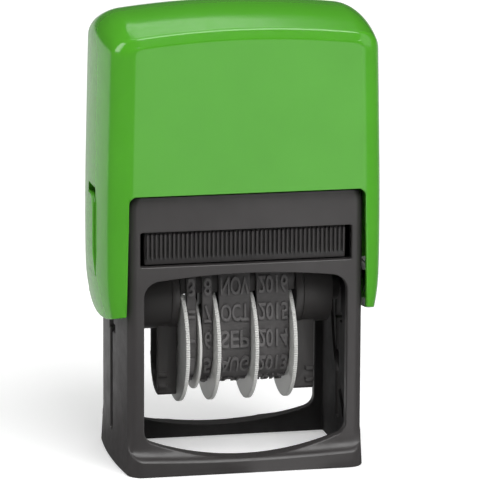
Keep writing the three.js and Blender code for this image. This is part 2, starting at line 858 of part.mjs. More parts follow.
// Left and right faces of each disc, drum and spacer, packed from the left arm
function rowLayout() {
  const places = {};
  const spacers = washerThickness + separatorThickness + (wheelShares.length + 1) * wheelGap;
  const drums = 2 * (armInside - runningGap) - spacers - wheelShares.length * discThickness;
  let x = -armInside + runningGap;
  for (const { name, width, discFirst } of wheelShares) {
    const start = x;
    const end = start + width * drums + discThickness;
    places[name] = discFirst
      ? { disc: [start, start + discThickness], drum: [start + discThickness, end] }
      : { disc: [end - discThickness, end], drum: [start, end - discThickness] };
    x = end + wheelGap;
    if (name === separatorAfter) {
      places.separator = [x, x + separatorThickness];
      x += separatorThickness + wheelGap;
    }
  }
  places.washer = [x, x + washerThickness];
  return places;
}

function dateWheel({ disc, drum }) {
  const thumbDisc = alongX(
    toothed(0, axleHeight, discRadius, discRadius - knurlDepth, knurlTeeth),
    ...disc,
  );
  const drumTip = bandWheelRadius - boreGap;
  const barrel = alongX(toothed(0, axleHeight, drumTip, drumTip - drumToothDepth, drumTeeth), ...drum);
  const bore = alongX(
    circle(0, axleHeight, axleRadius + boreGap, pinSteps),
    Math.min(disc[0], drum[0]) - overrun,
    Math.max(disc[1], drum[1]) + overrun,
  );
  return cut(join(thumbDisc, barrel), bore);
}

function ringPlate([from, to], outer, bore) {
  return tube(alongX, circle(0, axleHeight, outer), circle(0, axleHeight, bore, pinSteps), from, to);
}

// Half of the loop that a band makes round its wheel and over the bridge, grown by an offset
function loopPath(offset) {
  const wheel = { y: 0, z: axleHeight, radius: bandWheelRadius + offset };
  const turn = {
    y: bridgeHalfFlat,
    z: bridgeHead - bridgeTurnRadius,
    radius: bridgeTurnRadius + offset,
  };
  const span = Math.hypot(turn.y - wheel.y, turn.z - wheel.z);
  const rise = Math.atan2(turn.z - wheel.z, turn.y - wheel.y);
  const lean = rise - Math.acos((wheel.radius - turn.radius) / span);
  return { wheel, turn, span, lean };
}

// Point on the loop at a distance from the middle of the bridge, to the rear when it is positive
function loopPoint(distance, offset) {
  const base = loopPath(bandThickness);
  const { wheel, turn, lean } = loopPath(offset);
  const side = Math.sign(distance) || 1;
  const along = Math.abs(distance);
  const flat = base.turn.y;
  const bend = flat + base.turn.radius * (Math.PI / 2 - lean);
  const straight = bend + Math.sqrt(base.span ** 2 - (base.wheel.radius - base.turn.radius) ** 2);
  const onArc = (centre, angle) => point(
    side * (centre.y + centre.radius * Math.cos(angle)),
    centre.z + centre.radius * Math.sin(angle),
  );
  if (along < flat) return point(side * along, turn.z + turn.radius);
  if (along < bend) return onArc(turn, Math.PI / 2 - (along - flat) / base.turn.radius);
  if (along < straight) {
    const share = (along - bend) / (straight - bend);
    return onArc(turn, lean).lerp(onArc(wheel, lean), share);
  }
  return onArc(wheel, lean - (along - straight) / base.wheel.radius);
}

function loopLength() {
  const { wheel, turn, span, lean } = loopPath(bandThickness);
  const straight = Math.sqrt(span ** 2 - (wheel.radius - turn.radius) ** 2);
  return 2 * (turn.y + turn.radius * (Math.PI / 2 - lean) + straight + wheel.radius * (lean + Math.PI / 2));
}

function typeBand([from, to]) {
  const length = loopLength();
  const pitch = length / typeRows;
  const half = (pitch - typeGroove) / 2;
  const at = (distance, offset) => loopPoint(
    distance > length / 2 ? distance - length : distance,
    offset,
  );
  const outer = Array.from({ length: typeRows }, (_, row) => row * pitch).flatMap(middle => {
    const pad = Array.from({ length: padSteps + 1 }, (_, i) => {
      return at(middle + half * (2 * i / padSteps - 1), bandThickness + typeRise);
    });
    return [at(middle - half, bandThickness), ...pad, at(middle + half, bandThickness)];
  });
  const inner = Array.from({ length: bandSteps }, (_, i) => at(length * i / bandSteps, 0));
  return tube(alongX, outer, inner, from, to);
}

// Return spring

function springPoint(share, foot, head) {
  const rise = share - endCurlShare * Math.sin(2 * Math.PI * share) / (2 * Math.PI);
  const angle = 2 * Math.PI * springCurls * share;
  return new THREE.Vector3(
    springRadius * Math.cos(angle),
    springRadius * Math.sin(angle),
    foot + (head - foot) * rise,
  );
}

function returnSpring() {
  const foot = seatHeight + runningGap + wireRadius;
  const head = crownInside - runningGap - wireRadius;
  const steps = springCurls * curlSteps;
  const positions = [];
  const index = [];
  const centres = Array.from({ length: steps + 1 }, (_, i) => springPoint(i / steps, foot, head));
  centres.forEach((centre, i) => {
    const angle = 2 * Math.PI * i / curlSteps;
    const out = new THREE.Vector3(Math.cos(angle), Math.sin(angle), 0);
    for (let k = 0; k < wireSides; k += 1) {
      const turn = 2 * Math.PI * k / wireSides;
      const rim = centre.clone()
        .addScaledVector(out, wireRadius * Math.cos(turn))
        .addScaledVector(axisZ, wireRadius * Math.sin(turn));
      positions.push(rim.x, rim.y, rim.z);
    }
  });
  for (let i = 0; i < steps; i += 1) {
    for (let k = 0; k < wireSides; k += 1) {
      const a = i * wireSides + k;
      const b = i * wireSides + (k + 1) % wireSides;
      index.push(a, b + wireSides, b, a, a + wireSides, b + wireSides);
    }
  }
  const last = steps * wireSides;
  for (let k = 1; k < wireSides - 1; k += 1) {
    index.push(0, k, k + 1, last, last + k + 1, last + k);
  }
  const gaps = centres.slice(0, -curlSteps).map((centre, i) => centre.distanceTo(centres[i + curlSteps]));
  console.log('least gap between curls, mm:', (Math.min(...gaps) - 2 * wireRadius).toFixed(2));
  const geometry = new THREE.BufferGeometry();
  geometry.setAttribute('position', new THREE.Float32BufferAttribute(positions, 3));
  geometry.setIndex(index);
  return geometry;
}

// The assembly

const stamp = new THREE.Group();
stamp.name = 'date_stamp';

function toGeometry(solid) {
  const { vertProperties, triVerts, numProp } = solid.getMesh();
  const geometry = new THREE.BufferGeometry();
  const positions = Float32Array.from({ length: vertProperties.length / numProp * 3 }, (_, i) => {
    return vertProperties[Math.floor(i / 3) * numProp + i % 3];
  });
  geometry.setAttribute('position', new THREE.BufferAttribute(positions, 3));
  geometry.setIndex(new THREE.BufferAttribute(new Uint32Array(triVerts), 1));
  geometry.computeVertexNormals();
  return geometry;
}

function add(name, shape, finish) {
  const geometry = shape.isBufferGeometry ? shape : toGeometry(shape);
  const mesh = new THREE.Mesh(geometry, new THREE.MeshStandardMaterial(finishes[finish]));
  mesh.name = name;
  stamp.add(mesh);
}

const row = rowLayout();
const capParts = capWalls();
add('frame_shell', frameShell(), 'frame');
add('ink_cartridge', inkCartridge(), 'tray');
add('ink_pad', inkPad(), 'felt');
add('return_spring', returnSpring(), 'steel');
add('cap_shell', capShell(capParts), 'cap');
add('lock_button_left', lockButton(-1, capParts), 'cap');
add('lock_button_right', lockButton(1, capParts), 'cap');
add('carriage_arm_left', carriageArm(-1), 'carriage');
add('carriage_arm_right', carriageArm(1), 'carriage');
add('type_bridge', typeBridge(), 'carriage');

const axleBore = axleRadius + boreGap;
const clipInside = armInside + armPlate + runningGap;
const clipOutside = clipInside + clipThickness;
const axleEnd = clipOutside + runningGap;
add('wheel_axle', alongX(circle(0, axleHeight, axleRadius, pinSteps), -axleEnd, axleEnd), 'steel');
add('axle_clip_left', ringPlate([-clipOutside, -clipInside], clipRadius, axleBore), 'steel');
add('axle_clip_right', ringPlate([clipInside, clipOutside], clipRadius, axleBore), 'steel');
add('separator_disc', ringPlate(row.separator, separatorRadius, axleBore), 'disc');
add('spacer_washer', ringPlate(row.washer, washerRadius, axleBore), 'steel');

for (const { name } of wheelShares) {
  const { drum } = row[name];
  add(`${name}_wheel`, dateWheel(row[name]), 'disc');
  add(`${name}_band`, typeBand([drum[0] + bandSideGap, drum[1] - bandSideGap]), 'rubber');
}

export default stamp;
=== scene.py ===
import json
import math
from contextlib import contextmanager

import bpy
from bpy.props import FloatProperty, FloatVectorProperty, IntProperty, PointerProperty
from mathutils import Matrix, Vector


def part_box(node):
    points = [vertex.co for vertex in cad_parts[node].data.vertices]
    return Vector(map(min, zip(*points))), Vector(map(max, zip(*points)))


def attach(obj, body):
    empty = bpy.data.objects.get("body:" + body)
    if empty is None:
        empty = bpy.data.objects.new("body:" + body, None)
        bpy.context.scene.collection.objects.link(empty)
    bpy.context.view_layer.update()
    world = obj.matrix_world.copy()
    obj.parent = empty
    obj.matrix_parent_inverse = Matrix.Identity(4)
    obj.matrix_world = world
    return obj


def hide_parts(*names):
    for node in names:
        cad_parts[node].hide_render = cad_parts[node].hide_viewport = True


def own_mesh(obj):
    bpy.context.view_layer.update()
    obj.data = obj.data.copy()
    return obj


bl_info = {
    "name": "Date stamp",
    "version": (1, 0, 0),
    "blender": (4, 5, 0),
    "location": "3D View > Sidebar > Date Stamp",
    "description": "Models a self-inking date stamp round its packed frame",
    "category": "Object",
}

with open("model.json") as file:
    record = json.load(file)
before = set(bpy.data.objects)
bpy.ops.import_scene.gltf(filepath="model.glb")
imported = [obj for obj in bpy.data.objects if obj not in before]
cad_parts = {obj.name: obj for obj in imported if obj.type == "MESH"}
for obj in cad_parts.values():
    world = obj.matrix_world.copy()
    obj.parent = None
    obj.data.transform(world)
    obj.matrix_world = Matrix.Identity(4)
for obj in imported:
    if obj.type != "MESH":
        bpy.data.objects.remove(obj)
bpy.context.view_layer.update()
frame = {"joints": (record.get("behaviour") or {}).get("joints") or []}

MM = 0.001
SIDES = (-1, 1)
TURN = 2 * math.pi
QUARTER = math.pi / 2
SINK = 0.4 * MM
PART_GAP = 0.25 * MM

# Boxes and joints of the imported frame, which the sizes below start from
FRAME_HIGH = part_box("frame_shell")[1]
CAP_LOW, CAP_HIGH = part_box("cap_shell")
BUTTON_LOW, BUTTON_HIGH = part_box("lock_button_right")
TRAY_LOW, TRAY_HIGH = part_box("ink_cartridge")
PAD_LOW, PAD_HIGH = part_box("ink_pad")
ARM_LOW, ARM_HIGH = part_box("carriage_arm_right")
AXLE_LOW, AXLE_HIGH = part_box("wheel_axle")
BRIDGE_LOW, BRIDGE_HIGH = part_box("type_bridge")
SPRING_LOW, SPRING_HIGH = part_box("return_spring")
JOINTS = {joint["name"]: joint for joint in frame["joints"]}
PIVOT = Vector(JOINTS["carriage_flip"]["pos_m"])
STROKE = JOINTS["cap_press"]["range_m"][1]
AXLE_HEIGHT = (AXLE_LOW.z + AXLE_HIGH.z) / 2


# Sizes and colours that a user may change

def length(name, description, mm):
    return FloatProperty(name=name, description=description, default=mm * MM, unit='LENGTH')


def tint(name, description, *colour):
    return FloatVectorProperty(
        name=name, description=description, default=colour, size=3, subtype='COLOR', min=0, max=1,
    )


class CapSizes(bpy.types.PropertyGroup):
    corner_radius: length("Corner radius", "Radius of the upright corners in plan", 5.3)
    side_bow: length("Side bow", "How far each side swells at half depth", 0.9)
    crown_radius: length("Crown radius", "Radius of the top from side to side", 205)
    crown_corner: length("Crown corner", "Radius between the top and the sides", 8)
    face_drop: length("Face drop", "From the crown down to the top of the front face", 5.8)
    shoulder_inset: length("Shoulder inset", "Depth of the shoulder over the front face", 0.7)
    shoulder_drop: length("Shoulder drop", "From the crown down to the shoulder's edge", 3.5)
    bevel_inset: length("Bevel inset", "Depth of the bevel between shoulder and crown", 4.1)
    bevel_drop: length("Bevel drop", "From the crown down to the bevel's upper edge", 2.2)
    wall: length("Wall", "Thickness of the moulding", 1.4)
    skirt_rise: length("Skirt rise", "How much higher the skirt's edge is at its corners", 3.2)
    cut_head: length("Cut-out head", "Height of the front edge over the frame", 64.3)
    cut_head_width: length("Cut-out head width", "Half-width of the cut-out at its head", 26.98)
    cut_foot_width: length("Cut-out foot width", "Half-width of the cut-out at its foot", 27.66)
    cut_corner: length("Cut-out corner", "Radius of the cut-out's upper corners", 1.4)
    button_width: length("Button width", "Half-width of a lock button", 4)
    button_gap: length("Button gap", "Gap round a lock button", 0.3)
    button_head_gap: length("Button head gap", "Gap over a lock button", 1.7)
    button_root_gap: length("Button root gap", "Gap under a lock button", 0.04)
    button_corner: length("Button corner", "Radius of a lock button's upper corners", 2.6)
    button_slot_corner: length("Button slot corner", "Radius of its slot's upper corners", 1)
    button_rise: length("Button rise", "How far a lock button stands out of the cap's side", 0.5)


class FrameSizes(bpy.types.PropertyGroup):
    half_width: length("Half-width", "Half of the frame's width at its corners", 27)
    half_depth: length("Half-depth", "Half of the frame's depth above the base", 16.4)
    side_bow: length("Side bow", "How far each side swells at half depth", 0.8)
    corner: length("Corner", "Radius of the upright corners", 2)
    top_corner: length("Top corner", "Radius of the upper corners seen from the front", 5)
    front_wall: length("Front wall", "Thickness of the front wall", 2.7)
    rear_wall: length("Rear wall", "Thickness of the rear wall", 2.1)
    side_wall: length("Side wall", "Thickness of the side walls", 1.9)
    lip: length("Lip", "Height of the base's lip in the middle", 2.6)
    lip_rise: length("Lip rise", "How much higher the lip is at its ends", 0.9)
    lip_reach: length("Lip reach", "How far the lip stands out", 2.6)
    cove: length("Cove", "Height of the hollow curve over the lip", 5.6)
    base_overhang: length("Base overhang", "How far the base stands out at the sides", 0.3)
    base_corner: length("Base corner", "Radius of the base's corners", 3.6)
    window_width: length("Window width", "Half-width of the window", 23.3)
    window_foot: length("Window foot", "Height of the window's foot in the middle", 3.45)
    window_foot_radius: length("Window foot radius", "Radius of the window's foot", 62)
    rear_window_width: length("Rear window width", "Half-width of the rear window", 23)
    rear_window_foot: length("Rear window foot", "Height of its foot in the middle", 2.75)
    rear_window_foot_radius: length("Rear window foot radius", "Radius of its foot", 74)
    window_head: length("Window head", "Height of the window's head in the middle", 45.8)
    window_head_radius: length("Window head radius", "Radius of the window's head", 165)
    window_foot_corner: length("Window foot corner", "Radius of the lower corners", 3)
    window_head_corner: length("Window head corner", "Radius of the upper corners", 3.6)
    slot_width: length("Slot width", "Half-width of the cartridge's slot", 24.2)
    slot_foot: length("Slot foot", "Height of the slot's lower edge", 48.05)
    slot_head: length("Slot head", "Height of the slot's upper edge", 55.9)
    ceiling: length("Ceiling", "Thickness over the cartridge", 2)


class CarriageSizes(bpy.types.PropertyGroup):
    arm_plate: length("Arm plate", "Thickness of an arm's plate", 1.8)
    arm_outside: length("Arm outside", "Outer face of an arm", 18.2)
    arm_half_depth: length("Arm half-depth", "Half of an arm's depth", 4.5)
    heel: length("Heel", "Radius of an arm's rear foot", 7)
    toe: length("Toe", "Radius of an arm's front foot", 0.8)
    flange: length("Flange", "Width of the flange round an arm's recess", 1.3)
    head: length("Head", "Radius of an arm's round head", 8.4)
    hub: length("Hub", "Radius of an arm's hub", 8.2)
    hub_wall: length("Hub wall", "Thickness of the hub's rim", 1.6)
    hub_setback: length("Hub setback", "From the hub's rim to the end of its boss", 2.8)
    axle: length("Axle", "Radius of the axle", 1.5)


class WheelSizes(bpy.types.PropertyGroup):
    radius: length("Radius", "Radius of a thumb disc", 14)
    thickness: length("Thickness", "Thickness of a thumb disc", 0.9)
    separator: length("Separator", "Radius of the disc between the day bands", 11.2)
    knurl_depth: length("Knurl depth", "Depth of the grooves round the rim", 0.24)
    teeth: IntProperty(name="Teeth", description="Grooves round the rim", default=160, min=12)
    drum: length("Drum", "Radius of the drum under the band", 7.85)
    band_bore: length("Band bore", "Radius of the band where it runs round its drum", 8.1)
    band_thickness: length("Band thickness", "Thickness of a band without its type", 1.3)
    type_rise: length("Type rise", "How far the type stands out of the band", 0.5)
    type_height: length("Type height", "Height of a character", 4)
    bridge_flat: length("Bridge flat", "Half of the flat run over the bridge", 3)
    bridge_turn: length("Bridge turn", "Radius of the band where it turns over the bridge", 4.3)
    rows: IntProperty(name="Rows", description="Rows of type on a band", default=14, min=8)


class SpringSizes(bpy.types.PropertyGroup):
    wire: length("Wire", "Radius of the wire", 0.45)
    radius: length("Radius", "Radius of the coil at the wire's middle", 4)
    curls: IntProperty(name="Curls", description="Turns of the spring", default=11, min=3)


class Colours(bpy.types.PropertyGroup):
    cap: tint("Cap", "Green of the cap", 0.08, 0.375, 0.022)
    frame: tint("Frame", "Black of the frame", 0.047, 0.0435, 0.0435)
    tray: tint("Tray", "Black of the cartridge", 0.041, 0.038, 0.038)
    carriage: tint("Carriage", "Black of the arms", 0.048, 0.045, 0.044)
    rubber: tint("Rubber", "Grey of the bands", 0.084, 0.08, 0.08)
    # The type's grey is lighter than the band's as a painted highlight on its raised faces
    type: tint("Type", "Grey of the raised type", 0.125, 0.12, 0.12)
    disc: tint("Disc", "Pale grey of the wheels", 0.62, 0.62, 0.6)
    steel: tint("Steel", "Colour of the metal", 0.62, 0.62, 0.62)
    felt: tint("Felt", "Colour of the inked pad", 0.018, 0.019, 0.028)


class StampSettings(bpy.types.PropertyGroup):
    cap: PointerProperty(type=CapSizes)
    frame: PointerProperty(type=FrameSizes)
    carriage: PointerProperty(type=CarriageSizes)
    wheels: PointerProperty(type=WheelSizes)
    spring: PointerProperty(type=SpringSizes)
    colours: PointerProperty(type=Colours)


# Flat outlines, in metres

ARCH_STEPS = 40
PLAN_FRONT_STEPS = 20
PLAN_CORNER_STEPS = 8
PLAN_SIDE_STEPS = 16


def spread(low, high, steps):
    """Evenly spaced values from low to high, with both ends."""
    return [low + (high - low) * i / steps for i in range(steps + 1)]


def eased(share):
    """A share from 0 to 1 that leaves and arrives gently."""
    return share * share * (3 - 2 * share)


def fall(distance, radius):
    """How far a circle has fallen away at a distance from its crest."""
    return radius - math.sqrt(radius * radius - distance * distance)


def on_circle(x, y, radius, angle):
    return x + radius * math.cos(angle), y + radius * math.sin(angle)


def arc(x, y, radius, start, end, steps):
    return [on_circle(x, y, radius, angle) for angle in spread(start, end, steps)]


def circle(x, y, radius, steps=64):
    return arc(x, y, radius, 0, TURN, steps)[:-1]


def filleted(corners, steps=8):
    """A run of corners (x, y, radius), rounded where the radius isn't zero."""
    outline = []
    for i, (x, y, radius) in enumerate(corners):
        if not radius:
            outline.append((x, y))
            continue
        corner = Vector((x, y))
        back = (Vector(corners[i - 1][:2]) - corner).normalized()
        ahead = (Vector(corners[(i + 1) % len(corners)][:2]) - corner).normalized()
        half = math.acos(max(-1, min(1, back.dot(ahead)))) / 2
        centre = corner + (back + ahead).normalized() * radius / math.sin(half)
        first = corner + back * radius / math.tan(half) - centre
        last = corner + ahead * radius / math.tan(half) - centre
        start = math.atan2(first.y, first.x)
        turn = math.atan2(last.y, last.x) - start
        turn = math.atan2(math.sin(turn), math.cos(turn))
        outline += arc(centre.x, centre.y, radius, start, start + turn, steps)
    return outline


def rectangle(x0, x1, y0, y1, radius=0.0, steps=8):
    return filleted([(x0, y0, radius), (x1, y0, radius), (x1, y1, radius), (x0, y1, radius)], steps)


def arched(half_foot, foot, half_head, head, radius, steps=8):
    """Four corners round a middle line, the upper two rounded."""
    return filleted([
        (-half_foot, foot, 0), (half_foot, foot, 0),
        (half_head, head, radius), (-half_head, head, radius),
    ], steps)


def bowed_plan(half_width, half_depth, bow, radius):
    """Plan of a housing whose sides are bowed outwards between round corners."""
    straight = half_depth - radius
    inner = half_width - radius
    side = spread(-straight, straight, PLAN_SIDE_STEPS)[1:-1]
    half = [
        *((x, -half_depth) for x in spread(-inner, inner, PLAN_FRONT_STEPS)[1:-1]),
        *arc(inner, -straight, radius, -QUARTER, 0, PLAN_CORNER_STEPS),
        *((half_width + bow * (1 - (y / straight) ** 2), y) for y in side),
        *arc(inner, straight, radius, 0, QUARTER, PLAN_CORNER_STEPS),
    ]
    return half + [(-x, -y) for x, y in half]


def sidedness():
    """How far each point of a plan has turned from the front or rear to a side, from 0 to 1."""
    turn = spread(0, 1, PLAN_CORNER_STEPS)
    return 2 * ([0] * (PLAN_FRONT_STEPS - 1) + turn + [1] * (PLAN_SIDE_STEPS - 1) + turn[::-1])


# Modelling by hand

PLACES = {
    "X": lambda a, b, c: (c, a, b),
    "Y": lambda a, b, c: (a, c, b),
    "Z": lambda a, b, c: (a, b, c),
}
MERGE = 1e-6
FLAT_ANGLE = math.radians(0.4)
SMOOTH_ANGLE = math.radians(32)
EDGE_ANGLE = math.radians(38)
STEEP_ANGLE = math.radians(60)


def pick(*pieces):
    bpy.ops.object.select_all(action='DESELECT')
    for piece in pieces:
        piece.select_set(True)
    bpy.context.view_layer.objects.active = pieces[0]


@contextmanager
def editing(piece):
    pick(piece)
    bpy.ops.object.mode_set(mode='EDIT')
    bpy.ops.mesh.select_all(action='SELECT')
    yield
    bpy.ops.object.mode_set(mode='OBJECT')


def modify(piece, kind, **settings):
    modifier = piece.modifiers.new(kind.title(), kind)
    for name, value in settings.items():
        setattr(modifier, name, value)
    pick(piece)
    bpy.ops.object.modifier_apply(modifier=modifier.name)
    return piece


def plate(outline, axis, height):
    """One flat face with a given outline."""
    bpy.ops.object.select_all(action='DESELECT')
    bpy.ops.mesh.primitive_circle_add(vertices=len(outline), fill_type='NGON')
    piece = bpy.context.object
    for vertex, (a, b) in zip(piece.data.vertices, outline):
        vertex.co = PLACES[axis](a, b, height)
    return piece


def prism(name, outline, axis, low, high):
    """A flat outline pushed from low to high along an axis."""
    low, high = min(low, high), max(low, high)
    piece = plate(outline, axis, low)
    piece.name = name
    with editing(piece):
        push = {"value": PLACES[axis](0, 0, high - low)}
        bpy.ops.mesh.extrude_region_move(TRANSFORM_OT_translate=push)
        bpy.ops.mesh.select_all(action='SELECT')
        bpy.ops.mesh.normals_make_consistent(inside=False)
    return piece


def tube(name, outline, bore, axis, low, high):
    """A prism with a bore right through it."""
    piece = prism(name, outline, axis, low, high)
    return carve(piece, prism("bore", bore, axis, low - MM, high + MM))


def skin(rows):
    """A grid whose rows of points are placed one by one."""
    bpy.ops.object.select_all(action='DESELECT')
    bpy.ops.mesh.primitive_grid_add(x_subdivisions=len(rows[0]) - 1, y_subdivisions=len(rows) - 1)
    piece = bpy.context.object
    points = [point for row in rows for point in row]
    for vertex, point in zip(piece.data.vertices, points, strict=True):
        vertex.co = point
    return piece


def unite(*pieces):
    """Several meshes in one object, without cutting them against each other."""
    pick(*pieces)
    bpy.ops.object.join()
    return bpy.context.object


def carve(piece, *tools, operation='DIFFERENCE'):
    """Cuts tools out of a piece, or joins them to it, or keeps what they share."""
    for tool in tools:
        modify(piece, 'BOOLEAN', operation=operation, solver='EXACT', object=tool)
        bpy.data.objects.remove(tool)
    return piece


def merge(piece, distance=MERGE):
    with editing(piece):
        bpy.ops.mesh.remove_doubles(threshold=distance)
        bpy.ops.mesh.select_all(action='SELECT')
        bpy.ops.mesh.normals_make_consistent(inside=False)
    return piece


def close(piece):
    """Faces over the open ends of a skin."""
    with editing(piece):
        bpy.ops.mesh.select_all(action='DESELECT')
        bpy.ops.mesh.select_non_manifold()
        bpy.ops.mesh.edge_face_add()
    return merge(piece)


def flatten(piece):
    """Takes out the edges inside flat faces."""
    with editing(piece):
        bpy.ops.mesh.dissolve_limited(angle_limit=FLAT_ANGLE)
    return piece


def smooth(piece, angle=SMOOTH_ANGLE):
    pick(piece)
    bpy.ops.object.shade_smooth_by_angle(angle=angle)
    return piece


def soften(piece, width, segments=2, angle=EDGE_ANGLE):
    """Rounds the sharp edges and shades the rest smooth."""
    return smooth(modify(
        piece, 'BEVEL', width=width, segments=segments, limit_method='ANGLE',
        angle_limit=angle, use_clamp_overlap=False, miter_outer='MITER_ARC',
    ))


def even(piece):
    """Lets large faces shade flat up to their rounded edges."""
    return modify(piece, 'WEIGHTED_NORMAL', mode='FACE_AREA', weight=50, keep_sharp=True)


def settle(piece, name, body, slot, *nodes):
    """Names and seats a finished piece, and gives it its slot's material if it has none."""
    piece.name = name
    piece.data.name = name
    if not piece.data.materials:
        piece.data.materials.append(material(slot))
    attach(piece, body)
    if nodes:
        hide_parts(*nodes)


# Materials

def math_operator(operation):
    """An operator of Value and its reflected form, which add a Math node."""
    def plain(value, other):
        return value.owner.node('ShaderNodeMath', {0: value, 1: other}, operation=operation)

    def reflected(value, other):
        return value.owner.node('ShaderNodeMath', {0: other, 1: value}, operation=operation)

    return plain, reflected


class Value:
    """A number or vector socket whose arithmetic adds Math nodes."""

    def __init__(self, owner, socket):
        self.owner = owner
        self.socket = socket

    __add__, __radd__ = math_operator('ADD')
    __sub__, __rsub__ = math_operator('SUBTRACT')
    __mul__, __rmul__ = math_operator('MULTIPLY')


class Nodes:
    """A node tree under construction."""

    def __init__(self, tree):
        self.tree = tree

    def put(self, value, socket):
        """Links a value to a socket, or writes a plain one into it."""
        if isinstance(value, Value):
            self.tree.links.new(value.socket, socket)
        else:
            socket.default_value = value

    def node(self, kind, inputs, output=0, **settings):
        """Adds a node and returns one of its outputs."""
        node = self.tree.nodes.new(kind)
        for name, value in settings.items():
            setattr(node, name, value)
        for name, value in inputs.items():
            self.put(value, node.inputs[name])
        return Value(self, node.outputs[output])


class Finish(Nodes):
    """A material under construction."""

    def __init__(self, name, colour, roughness, **plain):
        self.material = bpy.data.materials.new(name)
        self.material.use_nodes = True
        super().__init__(self.material.node_tree)
        self.colour = colour
        self.shader = self.tree.nodes["Principled BSDF"]
        plain.update(Base_Color=(*colour, 1), Roughness=roughness)
        for socket, value in plain.items():
            self.shader.inputs[socket.replace("_", " ")].default_value = value
        self.place = self.node('ShaderNodeTexCoord', {}, "Object")

    def feed(self, socket, value):
        self.put(value, self.shader.inputs[socket])

    def mapped(self, **changes):
        return self.node('ShaderNodeMapping', {"Vector": self.place, **changes})

    def noise(self, scale, detail, roughness=0.55, place=None):
        return self.node('ShaderNodeTexNoise', {
            "Vector": place or self.place, "Scale": scale, "Detail": detail, "Roughness": roughness,
        })

    def ramp(self, factor, low, high):
        """Factor spread so that low becomes 0 and high becomes 1."""
        inputs = {"Value": factor, "From Min": low, "From Max": high}
        return self.node('ShaderNodeMapRange', inputs, clamp=True)

    def within(self, half_width, half_depth):
        """1 inside an upright box around the origin, 0 outside it."""
        shares = []
        for axis, half in (("X", half_width), ("Y", half_depth)):
            along = self.node('ShaderNodeSeparateXYZ', {0: self.place}, axis)
            along = self.node('ShaderNodeMath', {0: along}, operation='ABSOLUTE')
            shares.append(along * (1 / half))
        reach = self.node('ShaderNodeMath', dict(enumerate(shares)), operation='MAXIMUM')
        return 1 - self.ramp(reach, 0.99, 1.01)

    def blend(self, factor, first, second):
        """One colour where factor is 0, the other where it is 1."""
        # The Mix node's sockets for colours come after those for numbers and vectors
        return self.node('ShaderNodeMix', {0: factor, 6: first, 7: second}, 2, data_type='RGBA')

    def mottled(self, factor, dark, light, high=0.7):
        """The base colour, wavering between a darker and a lighter shade."""
        shades = (shade(self.colour, share) for share in (dark, light))
        return self.blend(self.ramp(factor, 0.3, high), *shades)

    def bump(self, height, strength, distance):
        self.feed("Normal", self.node('ShaderNodeBump', {
            "Height": height, "Strength": strength, "Distance": distance,
        }))


def shade(colour, factor):
    return (*(min(1, c * factor) for c in colour), 1)


def cap_finish(colours):
    """Glossy green moulding with a soft orange peel and faint handling marks."""
    finish = Finish("cap_gloss", colours.cap, 0.2, Coat_Roughness=0.06, Specular_IOR_Level=0.5)
    flow = finish.noise(38, 4)
    marks = finish.noise(620, 5, 0.65)
    finish.feed("Base Color", finish.mottled(flow, 0.96, 1.05))
    finish.feed("Roughness", 0.15 + 0.1 * finish.ramp(marks, 0.4, 0.8))
    finish.feed("Coat Weight", 0.1 + 0.1 * finish.ramp(flow, 0.3, 0.7))
    finish.bump(finish.noise(1100, 1), 0.03, 0.02 * MM)
    return finish.material


def black_finish(name, colour, roughness, grain_scale, grain_depth, hollow=None):
    """Satin black moulding with the fine grain of a spark-eroded mould; in the given hollow its
    base colour is painted darker as shade, and it is rougher there.
    """
    finish = Finish(name, colour, roughness, Specular_IOR_Level=0.45)
    rub = finish.noise(240, 4, 0.6)
    tone_and_painted_shade = finish.mottled(finish.noise(55, 4), 0.9, 1.12)
    gloss = (roughness - 0.07) + 0.14 * finish.ramp(rub, 0.35, 0.75)
    if hollow:
        # Painted shade: inside the box the base colour darkens to 0.4 of itself, and the roughness
        # rises
        inside = finish.within(*hollow)
        tone_and_painted_shade = finish.blend(inside, tone_and_painted_shade, shade(colour, 0.4))
        gloss = gloss + 0.35 * inside
    finish.feed("Base Color", tone_and_painted_shade)
    finish.feed("Roughness", gloss)
    finish.bump(finish.noise(grain_scale, 2) + 0.3 * rub, 0.35, grain_depth)
    return finish.material


def rubber_finish(name, colour):
    """Dull grey rubber, a little dusty, with the faint bloom of the mould."""
    finish = Finish(name, colour, 0.62, Specular_IOR_Level=0.35)
    bloom = finish.noise(420, 5, 0.6)
    finish.feed("Base Color", finish.mottled(bloom, 0.82, 1.25, 0.75))
    finish.feed("Roughness", 0.52 + 0.18 * bloom)
    finish.bump(finish.noise(5200, 2) + bloom, 0.3, 0.03 * MM)
    return finish.material


def disc_finish(colours):
    """Pale grey moulding with fine turning rings from the mould insert."""
    finish = Finish("disc_plastic", colours.disc, 0.38, Specular_IOR_Level=0.5)
    cloud = finish.noise(140, 4)
    finish.feed("Base Color", finish.mottled(cloud, 0.95, 1.04))
    finish.feed("Roughness", 0.32 + 0.14 * cloud)
    centred = finish.mapped(Location=(0, 0, -AXLE_HEIGHT))
    rings = finish.node(
        'ShaderNodeTexWave', {"Vector": centred, "Scale": 900, "Distortion": 0.4},
        wave_type='RINGS', rings_direction='X',
    )
    finish.bump(0.5 * rings + finish.noise(3800, 2), 0.12, 0.02 * MM)
    return finish.material


def steel_finish(colours):
    """Drawn steel with fine lines along the rod."""
    finish = Finish("drawn_steel", colours.steel, 0.26, Metallic=1.0)
    lines = finish.noise(900, 4, place=finish.mapped(Scale=(0.08, 1, 1)))
    finish.feed("Base Color", finish.mottled(lines, 0.86, 1.1))
    finish.feed("Roughness", 0.18 + 0.16 * lines)
    finish.bump(lines, 0.15, 0.02 * MM)
    return finish.material


def felt_finish(colours):
    """Dense felt, wet with ink."""
    finish = Finish("inked_felt", colours.felt, 0.8, Specular_IOR_Level=0.3)
    fibre = finish.noise(2600, 6, 0.7)
    finish.feed("Base Color", finish.mottled(fibre, 0.6, 1.6, 0.75))
    finish.feed("Roughness", 0.5 + 0.4 * finish.noise(160, 3))
    finish.bump(fibre, 0.8, 0.1 * MM)
    return finish.material
